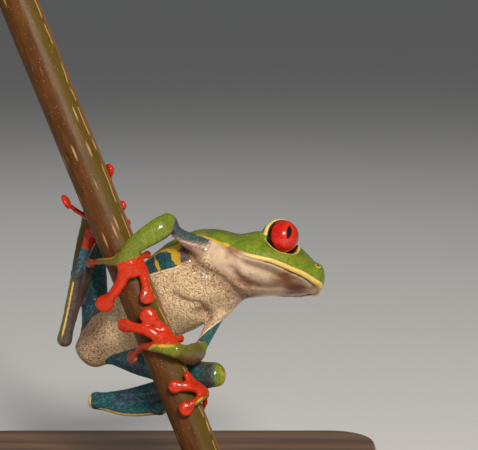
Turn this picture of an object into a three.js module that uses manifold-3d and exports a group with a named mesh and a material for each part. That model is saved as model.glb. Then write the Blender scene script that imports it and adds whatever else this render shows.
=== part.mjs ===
// Red-eyed tree frog (Agalychnis callidryas), life size, gripping a cut stem that a plain
// display stand holds. Millimetres, +Z up, origin on the floor under the base's middle.
//
// The animal and its stem are set out upright in a frame of their own, in which x runs along
// the frog's gaze, y goes away from its right side and z is up. A group then leans it back.

import * as THREE from 'three';
import { mergeVertices } from 'three/addons/utils/BufferGeometryUtils.js';
import Module from 'manifold-3d';

const wasm = await Module();
wasm.setup();

// ---- Driving sizes -------------------------------------------------------------------

const gap = 0.3; // clearance between neighbouring solids
const leanBack = THREE.MathUtils.degToRad(8);
const setBack = -10;
const setHeight = 55; // of the upright frame's origin over the floor

const stemRadius = 3.55;
const stemTaper = 0.25; // the stem is this much thinner in radius at its lower end
const stemSlope = THREE.MathUtils.degToRad(22.15); // from the vertical, toward the tail side
const stemAxisX = -9.2; // where the stem's axis crosses z = 0
const stemTop = 46.9; // along the axis from there
const stemFoot = -46.4;

const baseLength = 84;
const baseWidth = 66;
const baseHeight = 6;
const baseCorner = 9;
const baseEdge = 0.8;
const rodRadius = 1.5;
const rodInStem = 9;
const rodInBase = 3.5;
const collarRadius = 3;
const collarTopRadius = 2.4;
const collarHeight = 2;
const collarLift = 1.4; // clear of the base, as the collar's rim leans

const snoutTip = [30.0, 4.0, -10.7]; // at the level of the mouth
const headPitch = 9; // degrees, nose down
const headRoll = 24; // degrees, throat toward the frog's right
const eyeRadius = 3.1;
const eyeBehindSnout = 9.06;
const eyeAside = 5.8;
const eyeAboveMouth = 5.44;
const gazeForward = 0.38; // the gaze's slope forward and down for each 1 to the side
const gazeDown = 0.09;
const lidThickness = 0.4;
const lidReach = 0.7; // how far past the eye's middle the lids come
const discThick = 0.6; // half the thickness of a finger's or toe's disc

const bodySides = 20; // of the head's and trunk's sections
const limbSides = 10;
const digitSides = 7;
const ballSides = 14;
const ballRows = 8;
const stemSides = 20;
const rodSides = 14;

// ---- Small tools ---------------------------------------------------------------------

const vec = (p) => new THREE.Vector3(p[0], p[1], p[2]);

// A smooth value at u from knots of [place, value, value...], held flat past both ends.
function profile(knots, u) {
  if (u <= knots[0][0]) return knots[0].slice(1);
  const last = knots.length - 1;
  if (u >= knots[last][0]) return knots[last].slice(1);
  let i = 0;
  while (knots[i + 1][0] < u) i += 1;
  const [k0, k1, k2, k3] = [knots[Math.max(i - 1, 0)], knots[i], knots[i + 1], knots[Math.min(i + 2, last)]];
  const span = k2[0] - k1[0];
  const t = (u - k1[0]) / span;
  return k1.slice(1).map((value, j) => {
    const next = k2[j + 1];
    const m1 = ((next - k0[j + 1]) / (k2[0] - k0[0])) * span;
    const m2 = ((k3[j + 1] - value) / (k3[0] - k1[0])) * span;
    const a = 2 * t ** 3 - 3 * t ** 2 + 1;
    const b = t ** 3 - 2 * t ** 2 + t;
    const c = -2 * t ** 3 + 3 * t ** 2;
    const d = t ** 3 - t ** 2;
    return a * value + b * m1 + c * next + d * m2;
  });
}

// Rings of points joined into one closed skin, with a pole at each end.
function loft(rings, startPole, endPole) {
  const sides = rings[0].length;
  const points = [startPole, ...rings.flat(), endPole];
  const positions = new Float32Array(points.flatMap((p) => [p.x, p.y, p.z]));
  const index = [];
  const end = points.length - 1;
  const at = (ring, side) => 1 + ring * sides + (side % sides);
  for (let k = 0; k < sides; k += 1) {
    index.push(0, at(0, k + 1), at(0, k));
    index.push(end, at(rings.length - 1, k), at(rings.length - 1, k + 1));
    for (let i = 0; i + 1 < rings.length; i += 1) {
      index.push(at(i, k), at(i, k + 1), at(i + 1, k + 1));
      index.push(at(i, k), at(i + 1, k + 1), at(i + 1, k));
    }
  }
  const geometry = new THREE.BufferGeometry();
  geometry.setAttribute('position', new THREE.BufferAttribute(positions, 3));
  geometry.setIndex(index);
  return geometry;
}

function toSolid(geometry) {
  const bare = geometry.clone();
  bare.deleteAttribute('normal');
  bare.deleteAttribute('uv');
  const merged = mergeVertices(bare, 1e-4);
  const solid = new wasm.Manifold(new wasm.Mesh({
    numProp: 3,
    vertProperties: new Float32Array(merged.attributes.position.array),
    triVerts: new Uint32Array(merged.index.array),
  }));
  if (solid.volume() > 0) return solid;
  const flipped = new Uint32Array(merged.index.array).reverse();
  return new wasm.Manifold(new wasm.Mesh({
    numProp: 3,
    vertProperties: new Float32Array(merged.attributes.position.array),
    triVerts: flipped,
  }));
}

function toGeometry(solid) {
  const mesh = solid.getMesh();
  const geometry = new THREE.BufferGeometry();
  const positions = new Float32Array((mesh.vertProperties.length / mesh.numProp) * 3);
  for (let i = 0; i < positions.length / 3; i += 1) {
    for (let j = 0; j < 3; j += 1) positions[3 * i + j] = mesh.vertProperties[mesh.numProp * i + j];
  }
  geometry.setAttribute('position', new THREE.BufferAttribute(positions, 3));
  geometry.setIndex([...mesh.triVerts]);
  return geometry;
}

const unite = (solids) => solids.reduce((whole, solid) => whole.add(solid));

// ---- Swept bodies --------------------------------------------------------------------

// A body along a smooth curve through `points`. `halves` are knots of [place 0..1, half
// width, half thickness]; the thickness lies along `face`, a direction or a function of a
// point. Both ends are rounded in `ends` steps, the far one by `tip` if it is given. `grow`
// makes the same body that much larger all over.
function sweep({ points, halves, face, sides = limbSides, steps = 6, ends = [3, 3], tip = 0, grow = 0 }) {
  const curve = new THREE.CatmullRomCurve3(points.map(vec), false, 'centripetal');
  const rings = [];
  const ringAt = (u, slide, shrink) => {
    const centre = curve.getPointAt(u);
    const along = curve.getTangentAt(u);
    const [wide, thick] = profile(halves, u).map((half) => (half + grow) * shrink);
    const hint = typeof face === 'function' ? face(centre) : vec(face);
    const up = hint.clone().addScaledVector(along, -hint.dot(along)).normalize();
    const side = new THREE.Vector3().crossVectors(up, along);
    centre.addScaledVector(along, slide);
    const ring = [];
    for (let k = 0; k < sides; k += 1) {
      const turn = (2 * Math.PI * k) / sides;
      const point = centre.clone();
      point.addScaledVector(side, wide * Math.cos(turn));
      point.addScaledVector(up, thick * Math.sin(turn));
      ring.push(point);
    }
    return ring;
  };
  const roundness = 0.9; // of an end that has no tip length of its own
  const capDepth = (u) => (u === 1 && tip ? tip : Math.min(...profile(halves, u)) * roundness) + grow;
  const pole = (u, sign) => curve.getPointAt(u).addScaledVector(curve.getTangentAt(u), sign * capDepth(u));
  for (let i = ends[0] - 1; i > 0; i -= 1) {
    const turn = (i / ends[0]) * (Math.PI / 2);
    rings.push(ringAt(0, -capDepth(0) * Math.sin(turn), Math.cos(turn)));
  }
  for (let i = 0; i <= steps; i += 1) rings.push(ringAt(i / steps, 0, 1));
  for (let i = 1; i < ends[1]; i += 1) {
    const turn = (i / ends[1]) * (Math.PI / 2);
    rings.push(ringAt(1, capDepth(1) * Math.sin(turn), Math.cos(turn)));
  }
  return toSolid(loft(rings, pole(0, -1), pole(1, 1)));
}

// ---- The stem's own coordinates ------------------------------------------------------

const stemUp = new THREE.Vector3(-Math.sin(stemSlope), 0, Math.cos(stemSlope));
const stemSide = new THREE.Vector3(Math.cos(stemSlope), 0, Math.sin(stemSlope));
const stemOrigin = new THREE.Vector3(stemAxisX, 0, 0);

// A point over the bark: distance along the stem, degrees round it (0 faces -y, 90 the
// frog's chest) and height over the bark.
function overBark(along, degrees, lift) {
  const turn = THREE.MathUtils.degToRad(degrees);
  const reach = stemRadius + lift;
  return stemOrigin.clone()
    .addScaledVector(stemUp, along)
    .addScaledVector(stemSide, reach * Math.sin(turn))
    .add(new THREE.Vector3(0, -reach * Math.cos(turn), 0))
    .toArray();
}

function awayFromStem(point) {
  const offset = point.clone().sub(stemOrigin);
  return offset.addScaledVector(stemUp, -offset.dot(stemUp)).normalize();
}

// ---- Head ----------------------------------------------------------------------------

// Axes of a body part: forward, its right and its back, pitched and rolled from level.
function axesFor(forward, rollDegrees) {
  const roll = THREE.MathUtils.degToRad(rollDegrees);
  const level = new THREE.Vector3(0, 0, 1);
  const up = level.addScaledVector(forward, -level.dot(forward)).normalize();
  const near = new THREE.Vector3().crossVectors(forward, up);
  const right = near.clone().multiplyScalar(Math.cos(roll)).addScaledVector(up, Math.sin(roll));
  const back = near.clone().multiplyScalar(-Math.sin(roll)).addScaledVector(up, Math.cos(roll));
  return { forward, right, back };
}

const pitch = THREE.MathUtils.degToRad(headPitch);
const headAxes = axesFor(new THREE.Vector3(Math.cos(pitch), 0, -Math.sin(pitch)), headRoll);

// A place in the head: distance behind the snout, toward its right, above the mouth.
function inHead(behind, aside, above) {
  return vec(snoutTip)
    .addScaledVector(headAxes.forward, -behind)
    .addScaledVector(headAxes.right, aside)
    .addScaledVector(headAxes.back, above);
}

// Sections of the head: behind the snout, half width, crown over the mouth, jaw under it.
const headSections = [
  [0.0, 1.3, 1.2, 1.2],
  [0.35, 2.6, 2.0, 1.5],
  [1.2, 3.9, 2.6, 1.9],
  [3.0, 5.4, 3.4, 2.25],
  [5.5, 6.75, 4.6, 2.5],
  [9.0, 7.9, 6.0, 2.8],
  [12.5, 8.45, 6.7, 3.1],
  [16.0, 8.2, 5.8, 3.4],
  [18.5, 7.6, 5.2, 3.3],
];

// The rings lie closer together toward the snout.
const snoutCap = 0.35;
const napeCap = 0.4;
const cheekFullness = 0.9; // 1 is an ellipse, less is squarer
const jawFullness = 0.8;

function headSolid(grow) {
  const depth = headSections[headSections.length - 1][0];
  const steps = 12;
  const crowding = 1.5;
  const rings = [];
  for (let i = 0; i <= steps; i += 1) {
    const behind = depth * (i / steps) ** crowding;
    const [wide, crown, jaw] = profile(headSections, behind);
    const ring = [];
    for (let k = 0; k < bodySides; k += 1) {
      const turn = (2 * Math.PI * k) / bodySides;
      const [c, s] = [Math.cos(turn), Math.sin(turn)];
      const aside = Math.sign(c) * Math.abs(c) ** cheekFullness * (wide + grow);
      const above = s > 0 ? s * (crown + grow) : -(Math.abs(s) ** jawFullness) * (jaw + grow);
      ring.push(inHead(behind, aside, above));
    }
    rings.push(ring);
  }
  const front = inHead(-snoutCap - grow, 0, 0);
  const rear = inHead(depth + napeCap + grow, 0, 1);
  return toSolid(loft(rings, front, rear));
}

function sphereSolid(centre, radius) {
  const geometry = new THREE.SphereGeometry(radius, ballSides, ballRows);
  geometry.translate(centre.x, centre.y, centre.z);
  return toSolid(geometry);
}

// The eye looks out, a little forward and up.
function eyeFrame(sign) {
  const centre = inHead(eyeBehindSnout, sign * eyeAside, eyeAboveMouth);
  const gaze = headAxes.right.clone().multiplyScalar(sign)
    .addScaledVector(headAxes.forward, gazeForward)
    .addScaledVector(headAxes.back, -gazeDown)
    .normalize();
  return { centre, gaze };
}

// Lids: a thick shell round the eyeball, open on the side it looks to.
function lidSolid(sign) {
  const { centre, gaze } = eyeFrame(sign);
  const shellRadius = eyeRadius + gap + lidThickness;
  const shell = sphereSolid(centre, shellRadius);
  const cutter = new THREE.BoxGeometry(3 * shellRadius, 3 * shellRadius, 2 * shellRadius);
  cutter.translate(0, 0, shellRadius + lidReach);
  cutter.applyQuaternion(new THREE.Quaternion().setFromUnitVectors(new THREE.Vector3(0, 0, 1), gaze));
  cutter.translate(centre.x, centre.y, centre.z);
  return shell.subtract(toSolid(cutter));
}

function eyeSolid(sign, grow) {
  return sphereSolid(eyeFrame(sign).centre, eyeRadius + grow);
}

// ---- Trunk ---------------------------------------------------------------------------

// The spine from nape to rump: point, half width, depths to the back and to the belly, roll
// in degrees.
const spine = [
  { at: [16.4, 4.9, -7.0], wide: 5.8, back: 4.2, belly: 4.8, roll: 32 },
  { at: [11.6, 5.4, -8.0], wide: 7.5, back: 6.1, belly: 6.4, roll: 42 },
  { at: [7.0, 6.6, -9.6], wide: 8.7, back: 7.1, belly: 6.9, roll: 50 },
  { at: [2.6, 7.9, -12.4], wide: 8.3, back: 5.9, belly: 6.2, roll: 57 },
  { at: [-2.4, 9.3, -15.6], wide: 7.2, back: 5.1, belly: 5.2, roll: 67 },
  { at: [-7.4, 10.8, -18.8], wide: 5.7, back: 4.6, belly: 4.6, roll: 77 },
  { at: [-11.6, 12.0, -21.8], wide: 4.6, back: 4.0, belly: 4.0, roll: 83 },
  { at: [-13.6, 12.4, -24.0], wide: 3.3, back: 3.1, belly: 3.0, roll: 85 },
];
const trunkSteps = 14;
const napeBulge = 0.6;
const rumpBulge = 1.6;

function trunkSolid(grow) {
  const curve = new THREE.CatmullRomCurve3(spine.map((station) => vec(station.at)));
  const places = spine.length - 1;
  const knots = spine.map(({ wide, back, belly, roll }, i) => [i / places, wide, back, belly, roll]);
  const rings = [];
  for (let i = 0; i <= trunkSteps; i += 1) {
    const u = i / trunkSteps;
    const [wide, back, belly, roll] = profile(knots, u);
    const centre = curve.getPoint(u);
    const axes = axesFor(curve.getTangent(u).negate(), roll);
    const ring = [];
    for (let k = 0; k < bodySides; k += 1) {
      const turn = (2 * Math.PI * k) / bodySides;
      const point = centre.clone();
      const deep = Math.sin(turn) > 0 ? back : belly;
      point.addScaledVector(axes.right, (wide + grow) * Math.cos(turn));
      point.addScaledVector(axes.back, (deep + grow) * Math.sin(turn));
      ring.push(point);
    }
    rings.push(ring);
  }
  const nape = curve.getPoint(0).addScaledVector(curve.getTangent(0), -napeBulge - grow);
  const rump = curve.getPoint(1).addScaledVector(curve.getTangent(1), rumpBulge + grow);
  return toSolid(loft(rings, nape, rump));
}

// ---- Limbs ---------------------------------------------------------------------------

const shoulderRight = [10.6, 2.4, -6.8];
const elbowRight = [1.9, -3.5, 0.6];
const wristRight = [-5.5, -5.0, -4.7];
const shoulderLeft = [11.6, 7.6, -13.4];
const elbowLeft = [6.8, 1.8, -23.3];
const wristLeft = [3.1, -5.3, -22.5];

const hipRight = [-12.6, 12.6, -19.4];
const kneeRight = [-13.4, 16.4, 3.2];
const heelRight = [-18.4, 10.4, -21.6];
const ankleRight = [-15.6, 6.6, -9.0];
const hipLeft = [-10.6, 12.4, -23.2];
const kneeLeft = [10.0, 3.2, -27.5];
const heelLeft = [-13.0, 15.4, -33.4];
const ankleLeft = [-0.4, 8.2, -34.2];

const nearSide = [0, -1, 0];

const armRightUpper = {
  points: [shoulderRight, [6.6, -0.6, -3.7], [3.1, -2.6, -1.3], elbowRight],
  halves: [[0, 2.9, 2.3], [0.45, 1.75, 1.5], [0.8, 1.05, 1.1], [1, 1.15, 1.15]],
  face: nearSide,
};
const armRightFore = {
  points: [elbowRight, [0.2, -4.5, -0.6], [-4.1, -5.1, -3.5], wristRight],
  halves: [[0, 1.75, 1.35], [0.3, 2.05, 1.4], [0.75, 1.7, 1.15], [1, 1.4, 1.0]],
  face: nearSide,
};
const armLeftUpper = {
  points: [shoulderLeft, [9.5, 5.4, -18.2], elbowLeft],
  halves: [[0, 2.6, 2.1], [0.5, 1.35, 1.3], [1, 1.15, 1.2]],
  face: nearSide,
};
const armLeftFore = {
  points: [elbowLeft, [5.2, -2.4, -23.3], wristLeft],
  halves: [[0, 1.8, 1.4], [0.4, 1.85, 1.35], [0.8, 1.5, 1.1], [1, 1.3, 1.0]],
  face: nearSide,
};
const legRightThigh = {
  points: [hipRight, [-13.4, 15.2, -9.0], kneeRight],
  halves: [[0, 2.5, 2.4], [0.4, 2.7, 2.3], [1, 1.9, 1.7]],
  face: nearSide,
};
const legRightShank = {
  points: [kneeRight, [-15.2, 13.2, -8.6], heelRight],
  halves: [[0, 1.7, 1.6], [0.4, 2.1, 1.8], [0.85, 1.25, 1.2], [1, 1.35, 1.3]],
  face: nearSide,
};
const legRightTarsus = {
  points: [heelRight, [-16.9, 8.4, -15.2], ankleRight],
  halves: [[0, 1.3, 1.25], [0.5, 1.15, 1.0], [1, 1.2, 1.0]],
  face: nearSide,
};
const legLeftThigh = {
  points: [hipLeft, [-0.6, 8.6, -26.4], kneeLeft],
  halves: [[0, 2.5, 2.4], [0.4, 2.7, 2.3], [1, 2.05, 1.9]],
  face: nearSide,
};
const legLeftShank = {
  points: [kneeLeft, [-1.4, 10.0, -31.2], heelLeft],
  halves: [[0, 2.0, 1.9], [0.4, 2.1, 1.8], [0.85, 1.3, 1.2], [1, 1.4, 1.3]],
  face: nearSide,
};
const legLeftTarsus = {
  points: [heelLeft, [-6.8, 12.0, -34.8], ankleLeft],
  halves: [[0, 1.35, 1.25], [0.5, 1.15, 1.0], [1, 1.2, 1.0]],
  face: nearSide,
};

// Hands and feet: where the palm ends and how far down it the digits fan out. A digit's path
// is [along the stem, degrees round it, lift over the bark], and it ends in the middle of its
// disc. The outer finger of a hand starts at the wrist.
const handRight = {
  root: wristRight,
  palm: [-9.8, 9, 1.25],
  fan: 0.55,
  palmHalves: [[0, 1.35, 1.05], [0.4, 2.35, 0.95], [1, 2.45, 0.75]],
  digits: [
    { path: [[-7.6, 42, 1.2], [-7.6, 78, 1.0]], half: 0.65, disc: 0.75 },
    { path: [[-9.2, 36, 1.2], [-11.9, 31, 1.0], [-14.6, 21, 1.0]], half: 0.9, disc: 1.38 },
    { path: [[-9.4, -7, 1.3], [-11.1, -29, 1.6], [-12.9, -60, 3.3]], half: 1.05, disc: 1.6, face: nearSide },
  ],
  outer: { path: [[-6.5, -13, 1.35], [-5.7, -46, 1.1], [-5.1, -82, 2.4]], half: 0.65, disc: 0.95 },
};
const handLeft = {
  root: wristLeft,
  palm: [-22.3, 15, 1.3],
  fan: 0.6,
  palmHalves: [[0, 1.3, 1.0], [0.4, 1.95, 0.95], [1, 1.9, 0.8]],
  digits: [
    { path: [[-23.7, 45, 1.2], [-23.9, 70, 1.0]], half: 0.62, disc: 0.72 },
    { path: [[-22.3, 33, 1.2], [-20.1, 23, 1.05], [-17.8, 7, 1.0]], half: 0.9, disc: 1.52 },
    { path: [[-22.3, 14, 1.2], [-20.0, -11, 1.1], [-17.9, -48, 1.9]], half: 1.03, disc: 1.42 },
  ],
  outer: { path: [[-23.5, -4, 1.45], [-22.7, -30, 1.1], [-23.9, -81, 1.7]], half: 0.65, disc: 1.25 },
};
const footRight = {
  root: ankleRight,
  palm: [0.4, -146, 2.2],
  fan: 0.9,
  palmHalves: [[0, 1.15, 0.95], [0.5, 1.15, 0.85], [1, 1.7, 0.8]],
  digits: [
    { path: [[-0.4, -164, 1.4], [-1.2, 166, 1.1], [-0.8, 137, 0.9]], half: 0.5, disc: 0.75 },
    { path: [[1.0, -166, 1.4], [1.6, 160, 1.1], [2.5, 128, 0.9]], half: 0.55, disc: 0.9 },
    { path: [[2.0, -160, 1.5], [5.2, 160, 1.1], [9.4, 119, 0.9]], half: 0.6, disc: 1.15 },
    { path: [[2.4, -154, 1.5], [7.4, -176, 1.1], [12.6, 172, 1.0]], half: 0.65, disc: 1.2 },
    { path: [[1.8, -144, 1.6], [5.4, -134, 1.5], [6.9, -95, 2.0]], half: 0.55, disc: 1.35 },
  ],
};
const footLeft = {
  root: ankleLeft,
  palm: [-34.8, 106, 1.1],
  fan: 0.9,
  palmHalves: [[0, 1.15, 0.95], [0.5, 1.1, 0.8], [1, 1.4, 0.7]],
  digits: [
    { path: [[-33.7, 76, 1.1], [-31.9, 54, 1.1], [-30.4, 41, 1.0]], half: 0.55, disc: 0.75 },
    { path: [[-34.6, 84, 1.2], [-33.0, 51, 1.2], [-32.0, 33, 1.1]], half: 0.5, disc: 0.8 },
    { path: [[-34.4, 72, 1.2], [-32.5, 37, 1.2], [-31.4, 3, 1.0]], half: 1.0, disc: 1.17 },
    { path: [[-34.9, 70, 1.2], [-35.3, 36, 1.2], [-35.8, 8, 1.0]], half: 0.85, disc: 1.33 },
    { path: [[-36.2, 120, 1.1], [-38.0, 150, 1.0], [-39.6, 172, 1.0]], half: 0.55, disc: 1.0 },
  ],
};

const shaftFlatness = 0.8; // a digit's thickness to its width
const thinnestHalf = 0.42;
const shortestShaft = 0.2; // of a digit's length

// A finger or toe: an even shaft that opens into a flat round disc at its tip.
function digitSolid(root, digit, grow) {
  const points = [root, ...digit.path.map((place) => overBark(...place))];
  const length = new THREE.CatmullRomCurve3(points.map(vec), false, 'centripetal').getLength();
  const { half, disc, face = awayFromStem } = digit;
  const shaft = Math.max(half, thinnestHalf / shaftFlatness);
  const before = (discs) => Math.max(shortestShaft, 1 - (discs * disc) / length);
  const halves = [
    [0, shaft, shaft * shaftFlatness],
    [before(1.0), shaft, shaft * shaftFlatness],
    [before(0.45), disc * 0.88, discThick],
    [1, disc, discThick],
  ];
  return sweep({ points, halves, face, sides: digitSides, steps: 7, ends: [1, 3], tip: disc, grow });
}

function handSolid(hand, grow) {
  const palmEnd = overBark(...hand.palm);
  const fanPoint = vec(hand.root).lerp(vec(palmEnd), hand.fan).toArray();
  const palm = sweep({
    points: [hand.root, palmEnd],
    halves: hand.palmHalves,
    face: awayFromStem,
    sides: limbSides,
    steps: 5,
    grow,
  });
  const digits = hand.digits.map((digit) => digitSolid(fanPoint, digit, grow));
  if (hand.outer) digits.push(digitSolid(hand.root, hand.outer, grow));
  return unite([palm, ...digits]);
}

// ---- Stem and stand ------------------------------------------------------------------

const stemTurn = new THREE.Quaternion().setFromUnitVectors(new THREE.Vector3(0, 0, 1), stemUp);

function alongStem(geometry, middle) {
  geometry.rotateX(Math.PI / 2);
  geometry.translate(0, 0, middle);
  geometry.applyQuaternion(stemTurn);
  geometry.translate(stemAxisX, 0, 0);
  return toSolid(geometry);
}

function stemSolid(grow) {
  const length = stemTop - stemFoot;
  const top = stemRadius + grow;
  const geometry = new THREE.CylinderGeometry(top, top - stemTaper, length + 2 * grow, stemSides);
  return alongStem(geometry, (stemTop + stemFoot) / 2);
}

// The leaning group's matrix, and the floor's height seen from inside it.
const placing = new THREE.Matrix4().makeRotationX(-leanBack).setPosition(0, setBack, setHeight);
const unplacing = placing.clone().invert();

// How far along the stem's axis a height over the floor lies.
function alongAtHeight(height) {
  const low = stemOrigin.clone().applyMatrix4(placing).z;
  const high = stemOrigin.clone().add(stemUp).applyMatrix4(placing).z;
  return (height - low) / (high - low);
}

const rodTop = stemFoot + rodInStem;
const rodFoot = alongAtHeight(baseHeight - rodInBase);
const collarMiddle = alongAtHeight(baseHeight + collarHeight / 2 + collarLift);

function rodSolid(grow) {
  const radius = rodRadius + grow;
  const rod = new THREE.CylinderGeometry(radius, radius, rodTop - rodFoot + 2 * grow, rodSides);
  return alongStem(rod, (rodTop + rodFoot) / 2);
}

function collarSolid() {
  const collar = new THREE.CylinderGeometry(collarTopRadius, collarRadius, collarHeight, rodSides);
  return alongStem(collar, collarMiddle);
}

function baseSolid() {
  const [x, y, r] = [baseLength / 2 - baseEdge, baseWidth / 2 - baseEdge, baseCorner];
  const outline = new THREE.Shape();
  outline.moveTo(-x + r, -y);
  outline.lineTo(x - r, -y);
  outline.absarc(x - r, -y + r, r, -Math.PI / 2, 0);
  outline.lineTo(x, y - r);
  outline.absarc(x - r, y - r, r, 0, Math.PI / 2);
  outline.lineTo(-x + r, y);
  outline.absarc(-x + r, y - r, r, Math.PI / 2, Math.PI);
  outline.lineTo(-x, -y + r);
  outline.absarc(-x + r, -y + r, r, Math.PI, 1.5 * Math.PI);
  const slab = new THREE.ExtrudeGeometry(outline, {
    depth: baseHeight - 2 * baseEdge,
    bevelSize: baseEdge,
    bevelThickness: baseEdge,
    bevelSegments: 1,
    curveSegments: 5,
  });
  slab.translate(0, 0, baseEdge);
  return toSolid(slab);
}

// ---- Assembly ------------------------------------------------------------------------

// Each part of the animal, named, from the one that keeps its whole shape to those that
// give way to it. A later part is cut back from every earlier one by the gap.
const parts = [
  ['perch_stem', (grow) => stemSolid(grow)],
  ['eye_right', (grow) => eyeSolid(1, grow)],
  ['eye_left', (grow) => eyeSolid(-1, grow)],
  ['head', (grow) => unite([headSolid(grow), lidSolid(1), lidSolid(-1)])],
  ['trunk', trunkSolid],
  ['arm_right_fore', (grow) => sweep({ ...armRightFore, grow })],
  ['arm_left_fore', (grow) => sweep({ ...armLeftFore, grow })],
  ['arm_right_upper', (grow) => sweep({ ...armRightUpper, grow })],
  ['arm_left_upper', (grow) => sweep({ ...armLeftUpper, grow })],
  ['leg_right_shank', (grow) => sweep({ ...legRightShank, grow })],
  ['leg_left_shank', (grow) => sweep({ ...legLeftShank, grow })],
  ['leg_right_thigh', (grow) => sweep({ ...legRightThigh, grow })],
  ['leg_left_thigh', (grow) => sweep({ ...legLeftThigh, grow })],
  ['leg_right_tarsus', (grow) => sweep({ ...legRightTarsus, grow })],
  ['leg_left_tarsus', (grow) => sweep({ ...legLeftTarsus, grow })],
  ['hand_right', (grow) => handSolid(handRight, grow)],
  ['hand_left', (grow) => handSolid(handLeft, grow)],
  ['foot_right', (grow) => handSolid(footRight, grow)],
  ['foot_left', (grow) => handSolid(footLeft, grow)],
];

const colours = {
  perch_stem: [0x5a4522, 0.7],
  eye_right: [0xc8200c, 0.08],
  eye_left: [0xc8200c, 0.08],
  head: [0x5f9a1c, 0.35],
  trunk: [0x5f9a1c, 0.35],
  arm: [0x6aa024, 0.35],
  leg: [0x5c9422, 0.35],
  hand: [0xd8431a, 0.3],
  foot: [0xd8431a, 0.3],
  stand_base: [0x3a2a1e, 0.5],
  stand_rod: [0xb9babb, 0.3],
};

function named(name, solid) {
  const [colour, roughness] = colours[name] ?? colours[name.split('_')[0]];
  const metalness = name === 'stand_rod' ? 1 : 0;
  const material = new THREE.MeshStandardMaterial({ color: colour, roughness, metalness });
  const mesh = new THREE.Mesh(toGeometry(solid), material);
  mesh.name = name;
  return mesh;
}

// The largest piece left of a cut solid.
function largest(solid) {
  return solid.decompose().reduce((best, piece) => (piece.volume() > best.volume() ? piece : best));
}

const model = new THREE.Group();
const leaning = new THREE.Group();
leaning.rotation.x = -leanBack;
leaning.position.set(0, setBack, setHeight);
model.add(leaning);

let taken = null;
for (const [name, build] of parts) {
  let solid = build(0);
  if (taken) solid = largest(solid.subtract(taken));
  if (name === 'perch_stem') solid = solid.subtract(rodSolid(gap));
  leaning.add(named(name, solid));
  const room = build(gap);
  taken = taken ? taken.add(room) : room;
}

leaning.add(named('stand_rod', rodSolid(0).add(collarSolid())));

const socket = toSolid(toGeometry(rodSolid(gap)).applyMatrix4(placing));
model.add(named('stand_base', baseSolid().subtract(socket)));

export default model;
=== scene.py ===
import math
import bmesh
import bpy
import numpy as np
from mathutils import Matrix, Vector


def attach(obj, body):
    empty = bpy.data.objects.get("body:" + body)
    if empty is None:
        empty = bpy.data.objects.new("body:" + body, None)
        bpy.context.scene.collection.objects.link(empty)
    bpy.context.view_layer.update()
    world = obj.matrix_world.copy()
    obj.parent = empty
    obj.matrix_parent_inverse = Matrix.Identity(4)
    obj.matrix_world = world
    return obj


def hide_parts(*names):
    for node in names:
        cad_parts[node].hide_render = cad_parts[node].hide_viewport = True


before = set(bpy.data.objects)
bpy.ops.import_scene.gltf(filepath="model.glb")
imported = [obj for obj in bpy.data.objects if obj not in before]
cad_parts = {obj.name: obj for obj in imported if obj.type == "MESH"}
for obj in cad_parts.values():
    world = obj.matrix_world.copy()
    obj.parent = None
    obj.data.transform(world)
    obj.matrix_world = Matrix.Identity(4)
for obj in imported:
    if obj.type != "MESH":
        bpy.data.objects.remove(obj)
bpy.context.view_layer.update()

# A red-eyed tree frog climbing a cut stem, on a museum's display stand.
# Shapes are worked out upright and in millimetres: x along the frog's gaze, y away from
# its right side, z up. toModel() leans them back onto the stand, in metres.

stance = dict(lean=8.0, back=-10.0, height=55.0)  # degrees, mm, mm
stem = dict(radius=3.55, taper=0.25, slope=22.15, axisX=-9.2, top=46.9, foot=-46.4)
head = dict(snout=(30.0, 4.0, -10.7), pitch=9.0, roll=24.0)
# gaze, socket and lids are ways as (right, forward, back). The lids end at `reach` along
# theirs, and open in a round hollow, the bowl, which lies `bowlAhead` of the ball.
eye = dict(radius=3.1, behind=9.06, aside=5.8, above=5.36,
           gaze=(1, 0.38, -0.04), socket=(1, 0.574, -0.2), lids=(1, 0.574, -0.3),
           reach=-0.24, lid=0.25, lidSwell=0.05, rim=0.12, bowl=3.6, bowlAhead=1.0, gap=0.06,
           bowlEdge=0.2, lidFillet=0.5, cut=0.05)


def toModel(points):
    # turned about x by the lean, then shifted to stand over the base
    a = math.radians(stance["lean"])
    x, y, z = points[..., 0], points[..., 1], points[..., 2]
    turned = (x, math.cos(a) * y + math.sin(a) * z + stance["back"],
              math.cos(a) * z - math.sin(a) * y + stance["height"])
    return np.stack(turned, -1) / 1000


def unit(v):
    v = np.asarray(v, float)
    return v / np.linalg.norm(v, axis=-1, keepdims=True)


def ramp(x, low, high):
    # 0 below low, 1 above high, with a smooth S between
    t = np.clip((x - low) / (high - low), 0, 1)
    return t * t * (3 - 2 * t)


def bump(x, middle, half):
    # a bell of height 1 around middle
    return np.exp(-((x - middle) / half) ** 2)


def knotCurve(knots, u):
    # a smooth value at u through rows of (place, value, value...), each row's slope taken
    # from its neighbours, and held flat past both ends
    knots = np.asarray(knots, float)
    p, v = knots[:, 0], knots[:, 1:]
    slope = np.gradient(v, p, axis=0)
    u = np.clip(u, p[0], p[-1])
    i = np.clip(np.searchsorted(p, u, side="right") - 1, 0, len(p) - 2)
    span = (p[i + 1] - p[i])[..., None]
    t = ((u - p[i])[..., None]) / span
    return ((2 * t**3 - 3 * t**2 + 1) * v[i] + (t**3 - 2 * t**2 + t) * span * slope[i]
            + (3 * t**2 - 2 * t**3) * v[i + 1] + (t**3 - t**2) * span * slope[i + 1])


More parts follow.
